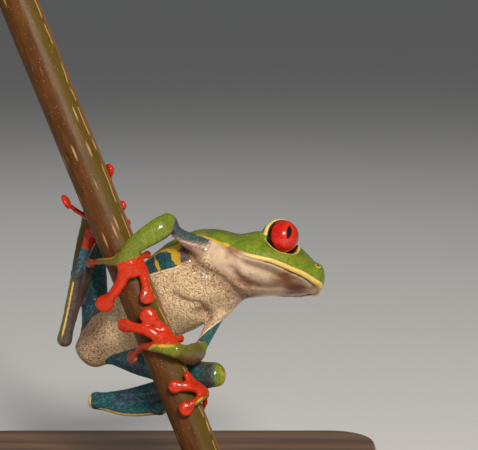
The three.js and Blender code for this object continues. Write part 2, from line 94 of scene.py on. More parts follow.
def curveThrough(points, count):
    # evenly spaced points on a smooth curve through the given ones
    points = np.asarray(points, float)
    chord = np.linalg.norm(np.diff(points, axis=0), axis=1)
    place = np.concatenate([[0], np.cumsum(np.sqrt(chord))])
    fine = knotCurve(np.column_stack([place, points]), np.linspace(0, place[-1], 400))
    run = np.concatenate([[0], np.cumsum(np.linalg.norm(np.diff(fine, axis=0), axis=1))])
    even = np.linspace(0, run[-1], count)
    return np.stack([np.interp(even, run, fine[:, j]) for j in range(3)], 1), run[-1]


# where things lie

slope = math.radians(stem["slope"])
stemUp = np.array([-math.sin(slope), 0, math.cos(slope)])
stemSide = np.array([stemUp[2], 0, -stemUp[0]])
stemOrigin = np.array([stem["axisX"], 0, 0])


def overBark(along, degrees, lift):
    # along the stem, round it (0 faces the frog's right, 90 its chest), over the bark
    turn = np.radians(degrees)
    reach = stem["radius"] + lift
    return (stemOrigin + along * stemUp + reach * math.sin(turn) * stemSide
            + np.array([0, -reach * math.cos(turn), 0]))


def awayFromStem(points):
    offset = np.asarray(points, float) - stemOrigin
    return unit(offset - (offset @ stemUp)[..., None] * stemUp)


def axesFor(forward, rollDegrees):
    # a body part's own right and back, rolled about its forward direction from level
    forward = unit(forward)
    up = unit(np.array([0, 0, 1.0]) - forward[..., 2:] * forward)
    near = np.cross(forward, up)
    roll = np.radians(np.asarray(rollDegrees, float))[..., None]
    return (np.cos(roll) * near + np.sin(roll) * up, np.cos(roll) * up - np.sin(roll) * near)


pitch = math.radians(head["pitch"])
headForward = np.array([math.cos(pitch), 0, -math.sin(pitch)])
headRight, headBack = (axis.reshape(3) for axis in axesFor(headForward, head["roll"]))


def inHead(behind, aside, above):
    return np.array(head["snout"]) - behind * headForward + aside * headRight + above * headBack


def headPlace(points):
    # behind the snout, toward the head's right, above the mouth
    offset = points - np.array(head["snout"])
    return -(offset @ headForward), offset @ headRight, offset @ headBack


def eyeFrame(sign):
    # the eye's centre, the ways its pupil and its iris face, and the way its lids open
    centre = inHead(eye["behind"], sign * eye["aside"], eye["above"])
    ways = [unit(sign * way[0] * headRight + way[1] * headForward + way[2] * headBack)
            for way in (eye["gaze"], eye["socket"], eye["lids"])]
    return centre, *ways


# A part of the body is a curve with a rounded, flattened section that changes along it.
# `halves` rows are (place 0..1, half width, half depth up, half depth down).
def makePart(points, halves, face, count=28, power=2.0, startCap=None, endCap=None):
    centre, length = curveThrough(points, count)
    place = np.linspace(0, 1, count)
    along = unit(np.gradient(centre, axis=0))
    rows = [row if len(row) == 4 else (*row, row[2]) for row in halves]
    size = knotCurve(rows, place)
    hint = face(centre) if callable(face) else np.asarray(face, float)
    hint = np.broadcast_to(hint, centre.shape)
    up = unit(hint - (hint * along).sum(1)[:, None] * along)
    smallest = size[:, 1:].min(1)
    caps = (startCap or smallest[0] * 0.9, endCap or smallest[-1] * 0.9)
    return dict(centre=centre, along=along, up=up, side=np.cross(up, along), size=size,
                step=length / (count - 1), power=power, caps=caps)


def makeBall(middle, radii, along, up, power=2.0):
    # a squashed ball, as a part with no length
    along = unit(along)
    up = np.asarray(up, float)
    up = unit(up - (up @ along) * along)
    one = np.ones((2, 1))
    centre = np.asarray(middle, float) + np.outer([-0.005, 0.005], along)
    size = one * np.array([radii[1], radii[2], radii[2]])
    return dict(centre=centre, along=one * along, up=one * up, side=one * np.cross(up, along),
                size=size, step=0.01, power=power, caps=(radii[0], radii[0]))


def measure(part, points):
    # distance to the part's surface (negative inside), place along it, and the direction
    # from its middle line, all for an array of points
    centre, n = part["centre"], len(part["centre"])
    near = np.argmin((centre**2).sum(1) - 2 * points @ centre.T, axis=1)
    slide = ((points - centre[near]) * part["along"][near]).sum(1)
    s = np.clip(near + slide / part["step"], 0, n - 1)
    low = np.minimum(s.astype(int), n - 2)
    f = (s - low)[:, None]
    pick = lambda values: values[low] * (1 - f) + values[low + 1] * f
    offset = points - pick(centre)
    size = pick(part["size"])
    a = (offset * pick(part["side"])).sum(1)
    b = (offset * pick(part["up"])).sum(1)
    c = (offset * pick(part["along"])).sum(1)
    c = np.where((s <= 0) | (s >= n - 1), c, 0)
    radii = np.stack([size[:, 0], np.where(b > 0, size[:, 1], size[:, 2]),
                      np.where(s <= 0, part["caps"][0], part["caps"][1])], 1)
    ratio = np.abs(np.stack([a, b, c], 1)) / radii
    p = part["power"]
    reach = np.maximum((ratio**p).sum(1), 1e-9) ** (1 / p)
    slope = reach ** (1 - p) * np.sqrt(((ratio ** (p - 1) / radii) ** 2).sum(1))
    return (reach - 1) / np.maximum(slope, 0.05), s / (n - 1), a / size[:, 0], b / size[:, 1]


def softMin(a, b, blend):
    # the lesser of two distances, with a fillet of about `blend` where they are alike
    h = np.clip(blend - np.abs(a - b), 0, None) / blend
    return np.minimum(a, b) - h * h * blend / 4


spine = [  # point, half width, half depth of back, of belly, roll
    ((16.4, 4.9, -7.0), 5.6, 4.0, 4.6, 32),
    ((11.6, 5.4, -8.0), 7.5, 6.0, 6.4, 42),
    ((7.0, 6.6, -9.6), 8.7, 6.9, 6.9, 50),
    ((2.6, 7.9, -12.4), 8.3, 5.9, 6.2, 57),
    ((-2.4, 9.3, -15.6), 7.2, 5.1, 5.2, 67),
    ((-7.4, 10.8, -18.8), 5.7, 4.6, 4.6, 77),
    ((-11.6, 12.0, -21.8), 4.6, 4.0, 4.0, 83),
    ((-13.6, 12.4, -24.0), 3.3, 3.1, 3.0, 85),
]
headSections = [  # behind the snout, half width, crown over the mouth, jaw under it
    (2.2, 4.6, 2.9, 2.15),
    (3.6, 5.75, 3.6, 2.35),
    (5.5, 6.7, 4.5, 2.5),
    (9.0, 7.85, 5.9, 2.8),
    (11.0, 8.2, 6.5, 2.95),
    (12.5, 8.4, 6.65, 3.1),
    (14.5, 8.4, 6.2, 3.3),
    (16.5, 8.0, 5.5, 3.4),
    (19.0, 7.0, 4.8, 3.2),
]
canthus = [(2.0, 1.8, 1.7), (4.2, 2.8, 2.8), (7.0, 4.0, 4.5)]  # the ridge before each eye
joints = dict(
    shoulderRight=(10.6, 2.4, -6.8), elbowRight=(1.9, -3.5, 0.6), wristRight=(-5.5, -5.0, -4.7),
    shoulderLeft=(11.6, 7.6, -13.4), elbowLeft=(6.8, 1.8, -23.3), wristLeft=(3.1, -5.3, -22.5),
    hipRight=(-12.6, 12.6, -19.4), kneeRight=(-13.4, 16.4, 3.2), heelRight=(-18.4, 10.4, -21.6),
    ankleRight=(-15.6, 6.6, -9.0), hipLeft=(-10.6, 12.4, -23.2), kneeLeft=(10.0, 3.2, -27.5),
    heelLeft=(-13.0, 15.4, -33.4), ankleLeft=(-0.4, 8.2, -34.2), elbowFold=(7.2, 1.7, -22.9),
    flapTip=(8.25, 1.5, -21.65))
nearSide = (0, -1, 0)
limbs = {  # joints at both ends, points between them, halves, fillet where it joins the body
    "armRightUpper": ("shoulderRight", [(6.6, -0.6, -3.7), (3.1, -2.6, -1.3)], "elbowRight",
                      [(0, 2.9, 2.3), (0.45, 1.75, 1.5), (0.8, 1.05, 1.1), (1, 1.15, 1.15)], 1.8),
    "armRightFore": ("elbowRight", [(0.2, -4.5, -0.6), (-4.1, -5.1, -3.5)], "wristRight",
                     [(0, 1.75, 1.35), (0.3, 2.05, 1.4), (0.75, 1.7, 1.15), (1, 1.4, 1.0)], 0.5),
    "armLeftUpper": ("shoulderLeft", [(9.5, 5.4, -18.2)], "elbowLeft",
                     [(0, 2.6, 2.1), (0.5, 1.3, 1.3), (1, 1.15, 1.2)], 1.8),
    "armLeftFore": ("elbowLeft", [(5.2, -2.4, -23.3)], "wristLeft",
                    [(0, 1.8, 1.4), (0.4, 1.85, 1.35), (0.8, 1.5, 1.1), (1, 1.3, 1.0)], 0.5),
    "elbowLeftFlap": ("elbowFold", [], "flapTip", [(0, 1.0, 0.7), (1, 0.3, 0.3)], 0.7),
    "legRightThigh": ("hipRight", [(-13.4, 15.2, -9.0)], "kneeRight",
                      [(0, 2.5, 2.4), (0.4, 2.7, 2.3), (1, 1.9, 1.7)], 1.6),
    "legRightShank": ("kneeRight", [(-15.2, 13.2, -8.6)], "heelRight",
                      [(0, 1.7, 1.6), (0.4, 2.1, 1.8), (0.85, 1.25, 1.2), (1, 1.35, 1.3)], 0.35),
    "legRightTarsus": ("heelRight", [(-16.9, 8.4, -15.2)], "ankleRight",
                       [(0, 1.3, 1.25), (0.5, 1.15, 1.0), (1, 1.2, 1.0)], 0.35),
    "legLeftThigh": ("hipLeft", [(-0.6, 8.6, -26.4)], "kneeLeft",
                     [(0, 2.5, 2.4), (0.4, 2.7, 2.3), (1, 2.05, 1.9)], 1.6),
    "legLeftShank": ("kneeLeft", [(-1.4, 10.0, -31.2)], "heelLeft",
                     [(0, 2.0, 1.9), (0.4, 2.1, 1.8), (0.85, 1.3, 1.2), (1, 1.4, 1.3)], 0.8),
    "legLeftTarsus": ("heelLeft", [(-6.8, 12.0, -34.8)], "ankleLeft",
                      [(0, 1.35, 1.25), (0.5, 1.15, 1.0), (1, 1.2, 1.0)], 1.0),
}
# Hands and feet: the palm's end, how far down it the digits fan out, and each digit's path
# in (along, degrees, lift), its half width, its disc's radius and, where it doesn't press on
# the bark, the way its disc faces. The outer finger of a hand starts at the wrist.
hands = {
    "handRight": dict(root="wristRight", palm=(-9.8, 9, 1.25), fan=0.55,
                      halves=[(0, 1.35, 1.05), (0.4, 2.35, 0.95), (1, 2.45, 0.75)], digits=[
        ([(-7.6, 42, 1.2), (-7.6, 78, 1.0)], 0.65, 0.75, None),
        ([(-9.2, 36, 1.2), (-11.9, 31, 1.0), (-14.6, 21, 1.0)], 0.9, 1.38, None),
        ([(-9.4, -7, 1.3), (-11.1, -29, 1.6), (-12.9, -60, 3.3)], 1.05, 1.6, nearSide)],
        outer=([(-6.5, -13, 1.35), (-5.7, -46, 1.1), (-5.1, -82, 2.4)], 0.62, 0.95, None)),
    "handLeft": dict(root="wristLeft", palm=(-22.3, 15, 1.3), fan=0.6,
                     halves=[(0, 1.3, 1.0), (0.4, 1.95, 0.95), (1, 1.9, 0.8)], digits=[
        ([(-23.7, 45, 1.2), (-23.9, 70, 1.0)], 0.62, 0.72, None),
        ([(-22.3, 33, 1.2), (-20.1, 23, 1.05), (-17.8, 7, 1.0)], 0.9, 1.52, None),
        ([(-22.3, 14, 1.2), (-20.0, -11, 1.1), (-17.9, -48, 1.9)], 1.03, 1.42, None)],
        outer=([(-23.5, -4, 1.45), (-22.7, -30, 1.1), (-23.9, -81, 1.7)], 0.65, 1.25, None)),
    "footRight": dict(root="ankleRight", palm=(0.4, -146, 2.2), fan=0.9,
                      halves=[(0, 1.15, 0.95), (0.5, 1.15, 0.85), (1, 1.7, 0.8)], digits=[
        ([(-0.4, -164, 1.4), (-1.2, 166, 1.1), (-0.8, 137, 0.75)], 0.5, 0.72, None),
        ([(1.0, -166, 1.4), (1.6, 160, 1.1), (2.5, 128, 0.7)], 0.55, 0.9, None),
        ([(2.0, -160, 1.5), (5.2, 160, 1.1), (9.4, 119, 0.65)], 0.6, 1.15, None),
        ([(2.4, -154, 1.5), (7.4, -176, 1.1), (12.6, 172, 1.0)], 0.65, 1.2, None),
        ([(1.8, -144, 1.6), (5.0, -128, 2.8), (6.9, -95, 2.2)], 0.55, 1.4, (1, 0.1, 0.35))]),
    "footLeft": dict(root="ankleLeft", palm=(-34.8, 106, 0.95), fan=0.9,
                     halves=[(0, 1.15, 0.95), (0.5, 1.1, 0.8), (1, 1.4, 0.7)], digits=[
        ([(-33.7, 76, 1.1), (-31.9, 54, 1.1), (-30.4, 41, 1.0)], 0.55, 0.75, None),
        ([(-34.6, 84, 1.2), (-33.0, 51, 1.2), (-32.0, 33, 1.1)], 0.5, 0.8, None),
        ([(-34.4, 72, 1.2), (-32.5, 37, 1.2), (-31.4, 3, 1.0)], 1.0, 1.17, None),
        ([(-34.9, 70, 1.2), (-35.3, 36, 1.2), (-35.8, 8, 1.0)], 0.85, 1.33, None),
        ([(-36.2, 120, 1.1), (-38.0, 150, 1.0), (-39.6, 172, 1.0)], 0.55, 1.0, None)]),
}
discThick = 0.6


def makeDigit(root, digit, rootHalf=None):
    # an even shaft that opens into a flat disc
    path, half, disc, facing = digit
    points = np.array([root] + [overBark(*place) for place in path])
    length = curveThrough(points, 30)[1]
    before = lambda discs: max(0.2, 1 - discs * disc / length)
    face = awayFromStem if facing is None else facing
    start = (0, half * 1.1, half * 0.85) if rootHalf is None else (0, rootHalf, rootHalf * 0.8)
    shaft = makePart(points, [
        start,
        (before(2.0), half * 0.95, half * 0.78),
        (before(1.0), half * 0.92, half * 0.74),
        (before(0.45), disc * 0.8, discThick),
        (1, disc * 0.88, discThick * 0.85)], face, count=22)
    along = points[-1] - points[-2]
    up = awayFromStem(points[-1]) if facing is None else np.asarray(facing, float)
    pad = makeBall(points[-1], (disc, disc, discThick), along, up, power=2.4)
    return [shaft, pad]


def makeHand(name, hand):
    wrist = np.array(joints[hand["root"]])
    palmEnd = overBark(*hand["palm"])
    made = {name: (makePart([wrist, palmEnd], hand["halves"], awayFromStem, count=12), 0.7)}
    fan = wrist + hand["fan"] * (palmEnd - wrist)
    digits = [(fan, digit, None) for digit in hand["digits"]]
    if "outer" in hand:
        digits.append((wrist, hand["outer"], hand["halves"][0][1] * 0.9))
    for i, (root, digit, rootHalf) in enumerate(digits):
        shaft, pad = makeDigit(root, digit, rootHalf)
        made[f"{name}{i + 1}shaft"] = (shaft, 0.5)
        made[f"{name}{i + 1}pad"] = (pad, 0.35)
    return made


def makeBody():
    # every part, with the fillet it meets the ones before it with
    parts = {}
    last = len(spine) - 1
    forward = np.gradient(curveThrough([row[0] for row in spine], 40)[0], axis=0)
    rolls = knotCurve([(i / last, row[4]) for i, row in enumerate(spine)], np.linspace(0, 1, 40))
    trunkBack = axesFor(-forward, rolls[:, 0])[1]
    trunkSizes = [(i / last, *row[1:4]) for i, row in enumerate(spine)]
    parts["trunk"] = (makePart([row[0] for row in spine], trunkSizes, lambda c: trunkBack,
                               count=40, startCap=3.0, endCap=2.2), 1.0)
    rear, front = headSections[-1][0], headSections[0][0]
    sizes = [((rear - row[0]) / (rear - front), *row[1:]) for row in headSections[::-1]]
    middleLine = [inHead(behind, 0, 0) for behind in (rear, (rear + front) / 2, front)]
    parts["head"] = (makePart(middleLine, sizes, headBack, count=40, power=2.25,
                              startCap=3.0, endCap=2.2), 2.4)
    for sign, name in ((1, "Right"), (-1, "Left")):
        ridge = [inHead(behind, sign * aside, above) for behind, aside, above in canthus]
        parts["canthus" + name] = (makePart(ridge, [(0, 0.7, 0.7), (1, 1.1, 1.0)], headBack), 1.2)
    for name, (start, middle, end, halves, fillet) in limbs.items():
        parts[name] = (makePart([joints[start], *middle, joints[end]], halves, nearSide), fillet)
    for name, hand in hands.items():
        parts.update(makeHand(name, hand))
    return parts


def gridLine(low, high, step, fineLow, fineHigh, fineStep):
    # places along one axis, closer together between fineLow and fineHigh
    dense = np.linspace(low, high, 4000)
    near = ramp(dense, fineLow - 2.5, fineLow) * (1 - ramp(dense, fineHigh, fineHigh + 2.5))
    count = np.cumsum((1 / step + near * (1 / fineStep - 1 / step)) * (dense[1] - dense[0]))
    return np.interp(np.arange(count[0], count[-1]), count, dense)


# each axis: low, high, and the stretch with the fine step, from and to
skinGrid = dict(step=0.285, fine=0.195, x=(-22.5, 31.6, 18.5, 27.0), y=(-8.6, 20.2, -3.6, 3.2),
                z=(-38.4, 15.6, -5.8, 2.8), reach=2.2)


def gridBox(axes, low, high):
    # the grid's index ranges between two corners, and the points there
    spans = tuple(slice(*np.searchsorted(axis, ends)) for axis, ends in zip(axes, zip(low, high)))
    box = [axis[span] for axis, span in zip(axes, spans)]
    return spans, np.stack(np.meshgrid(*box, indexing="ij"), -1)


def bodyField(parts, axes):
    # the blended distance at every grid point, each part worked out only near itself
    field = np.full([len(axis) for axis in axes], skinGrid["reach"], np.float32)
    for part, fillet in parts.values():
        room = part["size"].max() + skinGrid["reach"]
        here, points = gridBox(axes, part["centre"].min(0) - room, part["centre"].max(0) + room)
        distance = measure(part, points.reshape(-1, 3))[0].reshape(points.shape[:3])
        field[here] = softMin(field[here], distance, fillet)
    for sign in (1, -1):
        carveEye(field, axes, sign)
    return field


def lidThickness(offset, distance):
    # thickest behind and under the eye, thin where the lid passes over it
    upAndForward = unit(headBack + 0.8 * headForward)
    return eye["lid"] - eye["lidSwell"] * (offset @ upAndForward) / np.maximum(distance, 0.1)


def carveEye(field, axes, sign):
    # a lid round the eyeball, open with a rolled rim on the side it looks to; the flesh
    # behind the rim stays whole, so that no thin wall is left round the ball
    centre, _, _, opening = eyeFrame(sign)
    room = eye["radius"] + 3
    here, points = gridBox(axes, centre - room, centre + room)
    offset = points - centre
    distance = np.linalg.norm(offset, axis=-1)
    bowl = np.linalg.norm(offset - eye["bowlAhead"] * opening, axis=-1) - eye["bowl"]
    shell = distance - eye["radius"] - lidThickness(offset, distance)
    beyondRim = offset @ opening - eye["reach"]
    shell = -softMin(-shell, -beyondRim, eye["rim"])
    field[here] = -softMin(-field[here], bowl, eye["bowlEdge"])
    field[here] = softMin(field[here], shell, eye["lidFillet"])
    hollow = np.minimum(eye["radius"] + eye["gap"] - distance, beyondRim + eye["cut"])
    field[here] = np.maximum(field[here], hollow)


def surfaceOf(field, axes):
    # one point in each grid cell that the surface crosses, at the mean of the crossings on
    # the cell's edges, and one quad round each grid edge that it crosses
    inside = field < 0
    mixed = np.zeros([n - 1 for n in field.shape], bool)
    corners = [(i, j, k) for i in (0, 1) for j in (0, 1) for k in (0, 1)]
    part = lambda a, c: a[tuple(slice(o, a.shape[d] - 1 + o) for d, o in enumerate(c))]
    first = part(inside, corners[0])
    for corner in corners[1:]:
        mixed |= part(inside, corner) != first
    cells = np.argwhere(mixed)
    number = np.full(mixed.shape, -1, np.int32)
    number[mixed] = np.arange(len(cells))
    values = np.stack([field[tuple((cells + corner).T)] for corner in corners], 1).astype(float)
    total = np.zeros((len(cells), 3))
    crossings = np.zeros(len(cells))
    for a, cornerA in enumerate(corners):
        for b, cornerB in enumerate(corners):
            if b <= a or np.abs(np.subtract(cornerA, cornerB)).sum() != 1:
                continue
            va, vb = values[:, a], values[:, b]
            cut = (va < 0) != (vb < 0)
            t = np.where(cut, va / np.where(cut, va - vb, 1), 0)
            spot = np.array(cornerA) + t[:, None] * np.subtract(cornerB, cornerA)
            total += np.where(cut[:, None], spot, 0)
            crossings += cut
    local = cells + total / crossings[:, None]
    points = np.stack([np.interp(local[:, d], np.arange(len(axes[d])), axes[d]) for d in range(3)], 1)
    quads = []
    for d in range(3):
        e, f = (d + 1) % 3, (d + 2) % 3
        low = tuple(slice(0, -1) if q == d else slice(1, -1) for q in range(3))
        high = tuple(slice(1, None) if q == d else slice(1, -1) for q in range(3))
        edges = np.argwhere(inside[low] != inside[high])
        edges[:, e] += 1
        edges[:, f] += 1
        turn = inside[tuple(edges.T)]
        back = lambda de, df: edges - np.eye(3, dtype=int)[e] * de - np.eye(3, dtype=int)[f] * df
        ring = [number[tuple(back(de, df).T)] for de, df in ((1, 1), (0, 1), (0, 0), (1, 0))]
        quad = np.stack(ring, 1)
        quads.append(np.where(turn[:, None], quad, quad[:, ::-1]))
    return points, np.concatenate(quads)


def largestSurface(points, quads):
    # the least corner number spreads along the quads until each surface has one number,
    # and only the surface with most points is kept
    label = np.arange(len(points))
    settled = False
    while not settled:
        spread = label.copy()
        np.minimum.at(spread, quads.ravel(), np.repeat(label[quads].min(1), 4))
        spread = spread[spread]
        settled = (spread == label).all()
        label = spread
    kept = label == np.bincount(label).argmax()
    number = np.cumsum(kept) - 1
    return points[kept], number[quads[kept[quads[:, 0]]]]


def neighbourMean(values, quads, count):
    # each vertex's mean over the other corners along its quads' edges
    start = quads.ravel()
    end = np.roll(quads, -1, 1).ravel()
    weight = np.bincount(start, minlength=count) + np.bincount(end, minlength=count)
    total = [np.bincount(start, values[end, j], count) + np.bincount(end, values[start, j], count)
             for j in range(values.shape[1])]
    return np.stack(total, 1) / np.maximum(weight, 1)[:, None]


def normalsOf(points, quads):
    # each vertex's normal, from the quads' diagonals crossed and summed
    a, b, c, d = (points[quads[:, i]] for i in range(4))
    faceNormals = np.cross(c - a, d - b)
    total = np.zeros_like(points)
    for i in range(4):
        for j in range(3):
            total[:, j] += np.bincount(quads[:, i], faceNormals[:, j], len(points))
    return unit(total + 1e-12)


def ripple(points, wavelength, seed, count=7):
    # gentle unevenness from -1 to 1: a sum of plane waves in chosen random directions
    draw = np.random.default_rng(seed)
    ways = unit(draw.normal(size=(count, 3))) * (2 * np.pi / wavelength)
    ways = ways * draw.uniform(0.7, 1.4, (count, 1))
    return np.sin(points @ ways.T + draw.uniform(0, 6.28, count)).sum(1) / math.sqrt(count * 2)


# small forms, as heights over the skin

lipLine = [  # behind the snout, the lip's middle over the mouth plane; it runs on as a stripe
    (0.0, -1.35), (1.3, -1.5), (2.7, -1.35), (4.8, -1.14), (6.8, -1.02), (8.8, -0.82),
    (10.6, -0.62), (12.4, -0.55), (14.4, -0.43), (15.6, -0.15), (16.8, 0.3), (18.5, 1.3),
    (20.1, 2.1), (22.0, 2.6), (24.0, 2.6)]
lip = dict(half=0.36, corner=16.6, stripeHalf=0.3)
lipRelief = [  # height, where over the lip's middle, half width
    (-0.24, -lip["half"] - 0.14, 0.16), (0.12, 0.02, 0.34), (-0.38, -lip["half"] - 0.8, 0.6),
    (0.2, -lip["half"] - 1.9, 0.7)]
nostril = (1.75, 4.1, 1.4)  # behind the snout, to the side, over the mouth
tympanum = (14.5, 7.6, 2.7)
earFold = [(11.8, 4.9), (13.5, 4.7), (15.5, 3.9), (17.5, 2.7), (19.8, 1.6)]  # behind, above
valleys = [  # the skin's valleys as points along them, depth, half width; each is both sunk into the skin and painted with shade
    ([(4.9, -0.3, -4.6), (6.1, -1.0, -6.8), (7.8, -1.3, -8.3), (10.9, -1.1, -9.9), (14.2, 2.4, -12.8),
      (15.4, 5.7, -13.6)], 0.8, 0.95),
    ([(12.6, -2.9, -8.2), (15.6, -0.5, -10.4), (18.6, 1.4, -11.3), (21.9, 1.7, -11.4)], 0.4, 0.9),
    ([(6.2, 3.2, -14.2), (8.4, 4.0, -16.6), (9.0, 5.6, -17.4)], 0.8, 1.2),
    ([(2.45, 1.3, -12.9), (5.0, 1.5, -14.2), (7.3, 1.8, -14.5), (8.8, 4.9, -16.6)], 0.45, 0.8),
    ([(2.1, 0.3, -9.2), (1.5, 0.7, -10.3), (0.45, 1.4, -11.7)], 0.16, 0.3),
    ([(-3.0, 3.9, -12.4), (0.2, 2.6, -12.8), (3.4, 2.3, -13.4)], 0.12, 0.9),
    ([(10.8, -1.4, -3.1), (11.85, -2.1, -4.0), (13.0, -3.05, -5.2), (13.9, -3.4, -6.1)], 0.2, 0.35),
]
foldShadeSpread = 2.1  # how much wider the painted shade along a deep, narrow valley is than its dip
swells = [  # middle of a bulge, its height and half width
    ((15.6, -1.6, -8.6), 0.3, 1.7), ((19.2, -0.6, -8.9), 0.25, 1.8), ((9.0, -1.0, -6.3), 0.35, 1.6),
    ((10.5, 0.6, -12.3), 0.4, 2.0), ((13.0, 4.0, -14.6), 0.35, 1.3), ((5.5, -0.7, -9.3), 0.35, 1.8),
    ((14.5, 5.3, -13.6), 0.3, 0.8), ((8.6, 3.8, -1.4), 0.85, 4.2), ((18.2, 1.2, -1.3), 0.5, 1.6)]
shoulderStripe = [(6.7, -1.07, -1.9), (8.17, -0.52, -2.4), (9.85, -0.64, -2.94), (11.27, -1.56, -3.36),
                  (12.5, -1.95, -3.74)]


def lipOffset(behind, above):
    return above - knotCurve(lipLine, behind)[:, 0]


def distanceAlong(points, path):
    # distance from a smooth curve through a few points
    line = curveThrough(path, 60)[0]
    nearest = np.argmin((line**2).sum(1) - 2 * points @ line.T, axis=1)
    return np.linalg.norm(points - line[nearest], axis=1)


def headSpots(behind, aside, above, spot):
    # distance from a spot that both sides of the head have
    return np.sqrt((behind - spot[0]) ** 2 + (np.abs(aside) - spot[1]) ** 2 + (above - spot[2]) ** 2)


def skinRelief(points):
    behind, aside, above = headPlace(points)
    height = np.zeros(len(points))
    over = lipOffset(behind, above)
    mouth = 1 - ramp(behind, lip["corner"] - 1.2, lip["corner"] + 0.4)
    for rise, middle, half in lipRelief:
        height += rise * mouth * bump(over, middle, half)
    away = headSpots(behind, aside, above, nostril)  # a raised ring round a pit
    height += 0.17 * bump(away, 0.36, 0.24) - 0.5 * (1 - ramp(away, 0.1, 0.27))
    away = headSpots(behind, aside, above, tympanum)  # a ring round a shallow dish
    height += 0.07 * bump(away, 1.3, 0.3) - 0.09 * (1 - ramp(away, 0.7, 1.2))
    foldLine = knotCurve(earFold, behind)[:, 0]
    onFold = ramp(behind, 11.5, 12.8) * (1 - ramp(behind, 18.6, 20.2)) * (np.abs(aside) > 2)
    height += onFold * (0.16 * bump(above, foldLine, 0.42) - 0.1 * bump(above, foldLine - 0.8, 0.4))
    for path, depth, half in valleys:
        height -= depth * bump(distanceAlong(points, path), 0, half)
    for middle, rise, half in swells:
        height += rise * bump(np.linalg.norm(points - np.array(middle), axis=1), 0, half)
    return height + 0.07 * ripple(points, 5.0, 3) + 0.03 * ripple(points, 1.7, 4)


# A pigment is a distance in mm inside its colour's edge. Each limb's colours: a way to face
# and how far round it, at the limb's start and end, the colour shows: 1 is straight that
# way, and -2 is all round.
allRound = -2
everywhere = ((1, 0, 0), allRound, allRound)
paint = {
    "armRightUpper": dict(blue=((0.45, 0, 0.9), 1.6, -1.1)),
    "armRightFore": dict(blue=((0.3, 0.4, -0.8), -1.5, 0.9), green=((-0.3, -0.4, 0.8), -0.62, -0.8)),
    "armLeftUpper": dict(blue=((0.6, -0.2, -0.7), 2.2, -1.6)),
    "elbowLeftFlap": dict(green=((0, -0.3, -0.2), allRound, allRound),
                          yellow=((0.3, -0.2, 1), 0.3, 0.1)),
    "armLeftFore": dict(green=((0, -0.3, -0.2), allRound, allRound)),
    "legRightThigh": dict(blue=everywhere, green=((-0.1, 0.9, 0.3), 0.7, 0.6)),
    "legRightShank": dict(blue=everywhere, cream=((-0.95, -0.2, 0), -0.16, -0.16),
                          green=((-0.95, -0.2, 0), 0.06, 0.06)),
    "legRightTarsus": dict(blue=everywhere, cream=((-0.9, 0.2, 0.2), 0.0, 0.0),
                           green=((-0.9, 0.2, 0.2), 0.2, 0.2)),
    "legLeftThigh": dict(blue=everywhere, green=((0.3, 0.7, 0.5), 0.8, 0.2)),
    "legLeftShank": dict(blue=everywhere, green=((-0.4, 0.1, -0.9), 1.9, 0.85)),
    "legLeftTarsus": dict(blue=everywhere, cream=((-0.3, 0.1, -0.9), 0.55, 0.6),
                          green=((-0.3, 0.1, -0.9), 0.85, 0.85)),
}
pigments = ("green", "blue", "red", "yellow")
paints = (*pigments, "cream")
far = 3.0  # mm: well inside or outside a colour
shadedParts = dict(  # darker and browner than the rest: painted shade where these lie in shadow, with some of their own brown
    armRightUpper=0.25, armRightFore=0.12, handRight4pad=1.1, handRight4shaft=0.75,
    handLeft4pad=1.0, handLeft4shaft=0.6, legRightShank=0.8, legRightTarsus=0.7,
    footLeft4shaft=0.2)
leftArmpitShade = (8.2, 4.9, -16.4)  # the middle of a patch of painted shade in the armpit
kneeCap = 9.7  # x past which the left knee is green
leftHeelRim = -13.7  # x under which the left heel is cream
leftHandEdge = -21.35  # z under which the left hand's outer edge is olive
rightHandEdge = ((-2.32, -4.73), (-0.399, 0.918))  # a point on it, the way to the olive side
flankBars = dict(first=0.285, apart=0.098, half=0.32, top=0.85)
backEdge = [  # place along the trunk, degrees from the back's middle where its green ends
    (0, 112), (0.045, 105), (0.07, 101), (0.107, 94), (0.146, 89), (0.2, 88), (0.28, 91),
    (0.38, 84), (0.5, 80), (0.7, 78), (1, 84)]
flankEdge = [  # and where the flank's blue ends
    (0.15, 118), (0.22, 122), (0.26, 124.5), (0.3, 128), (0.36, 126.5), (0.44, 123), (0.6, 122),
    (1, 108)]
trunkMm = dict(place=38, degree=0.13)  # mm for one whole place, and for a degree round
granularParts = dict(trunk=1, armRightUpper=0.25, armLeftUpper=0.6, legLeftThigh=0.8, legRightThigh=0.8)


def blank(points):
    return {pigment: np.full(len(points), -far) for pigment in paints}


def outwardFrom(part, points, place):
    low = np.clip(np.round(place * (len(part["centre"]) - 1)).astype(int), 0, len(part["centre"]) - 1)
    offset = points - part["centre"][low]
    return unit(offset - (offset * part["along"][low]).sum(1)[:, None] * part["along"][low])


def limbPaint(name, points, place, part):
    fields = blank(points)
    outward = outwardFrom(part, points, place)
    radius = part["size"][:, 1].mean()
    for pigment, (way, start, end) in paint.get(name, {}).items():
        edge = start + (end - start) * place
        fields[pigment] = (outward @ unit(way) - edge) * radius + far * ramp(-edge, 1.0, 1.8)
    fields["cream"] = np.minimum(fields["cream"], 0.15 - fields["green"])
    if name == "armRightUpper":
        fields["blue"] *= 0.4  # its edge is drawn out
    x, y, z = points.T
    if name in ("legLeftShank", "legLeftTarsus"):
        fields["cream"] = np.maximum(fields["cream"], leftHeelRim - x)
    if name.startswith("legLeft") and not name.endswith("Tarsus"):
        cap = 0.25 * (x - kneeCap)  # the bent knee's yellow-green end, its edge drawn out
        fields["green"] = np.maximum(fields["green"], cap)
        fields["yellow"] = np.minimum(1.2 * cap - 0.45, -0.06)
    if name == "armLeftFore":
        fields["green"] = leftHandEdge - z + 0.5
        fields["red"] = z - leftHandEdge - 0.2
        fields["yellow"] = np.minimum(0.25 - np.abs(z - leftHandEdge + 0.3), 2.8 - x)
    return fields


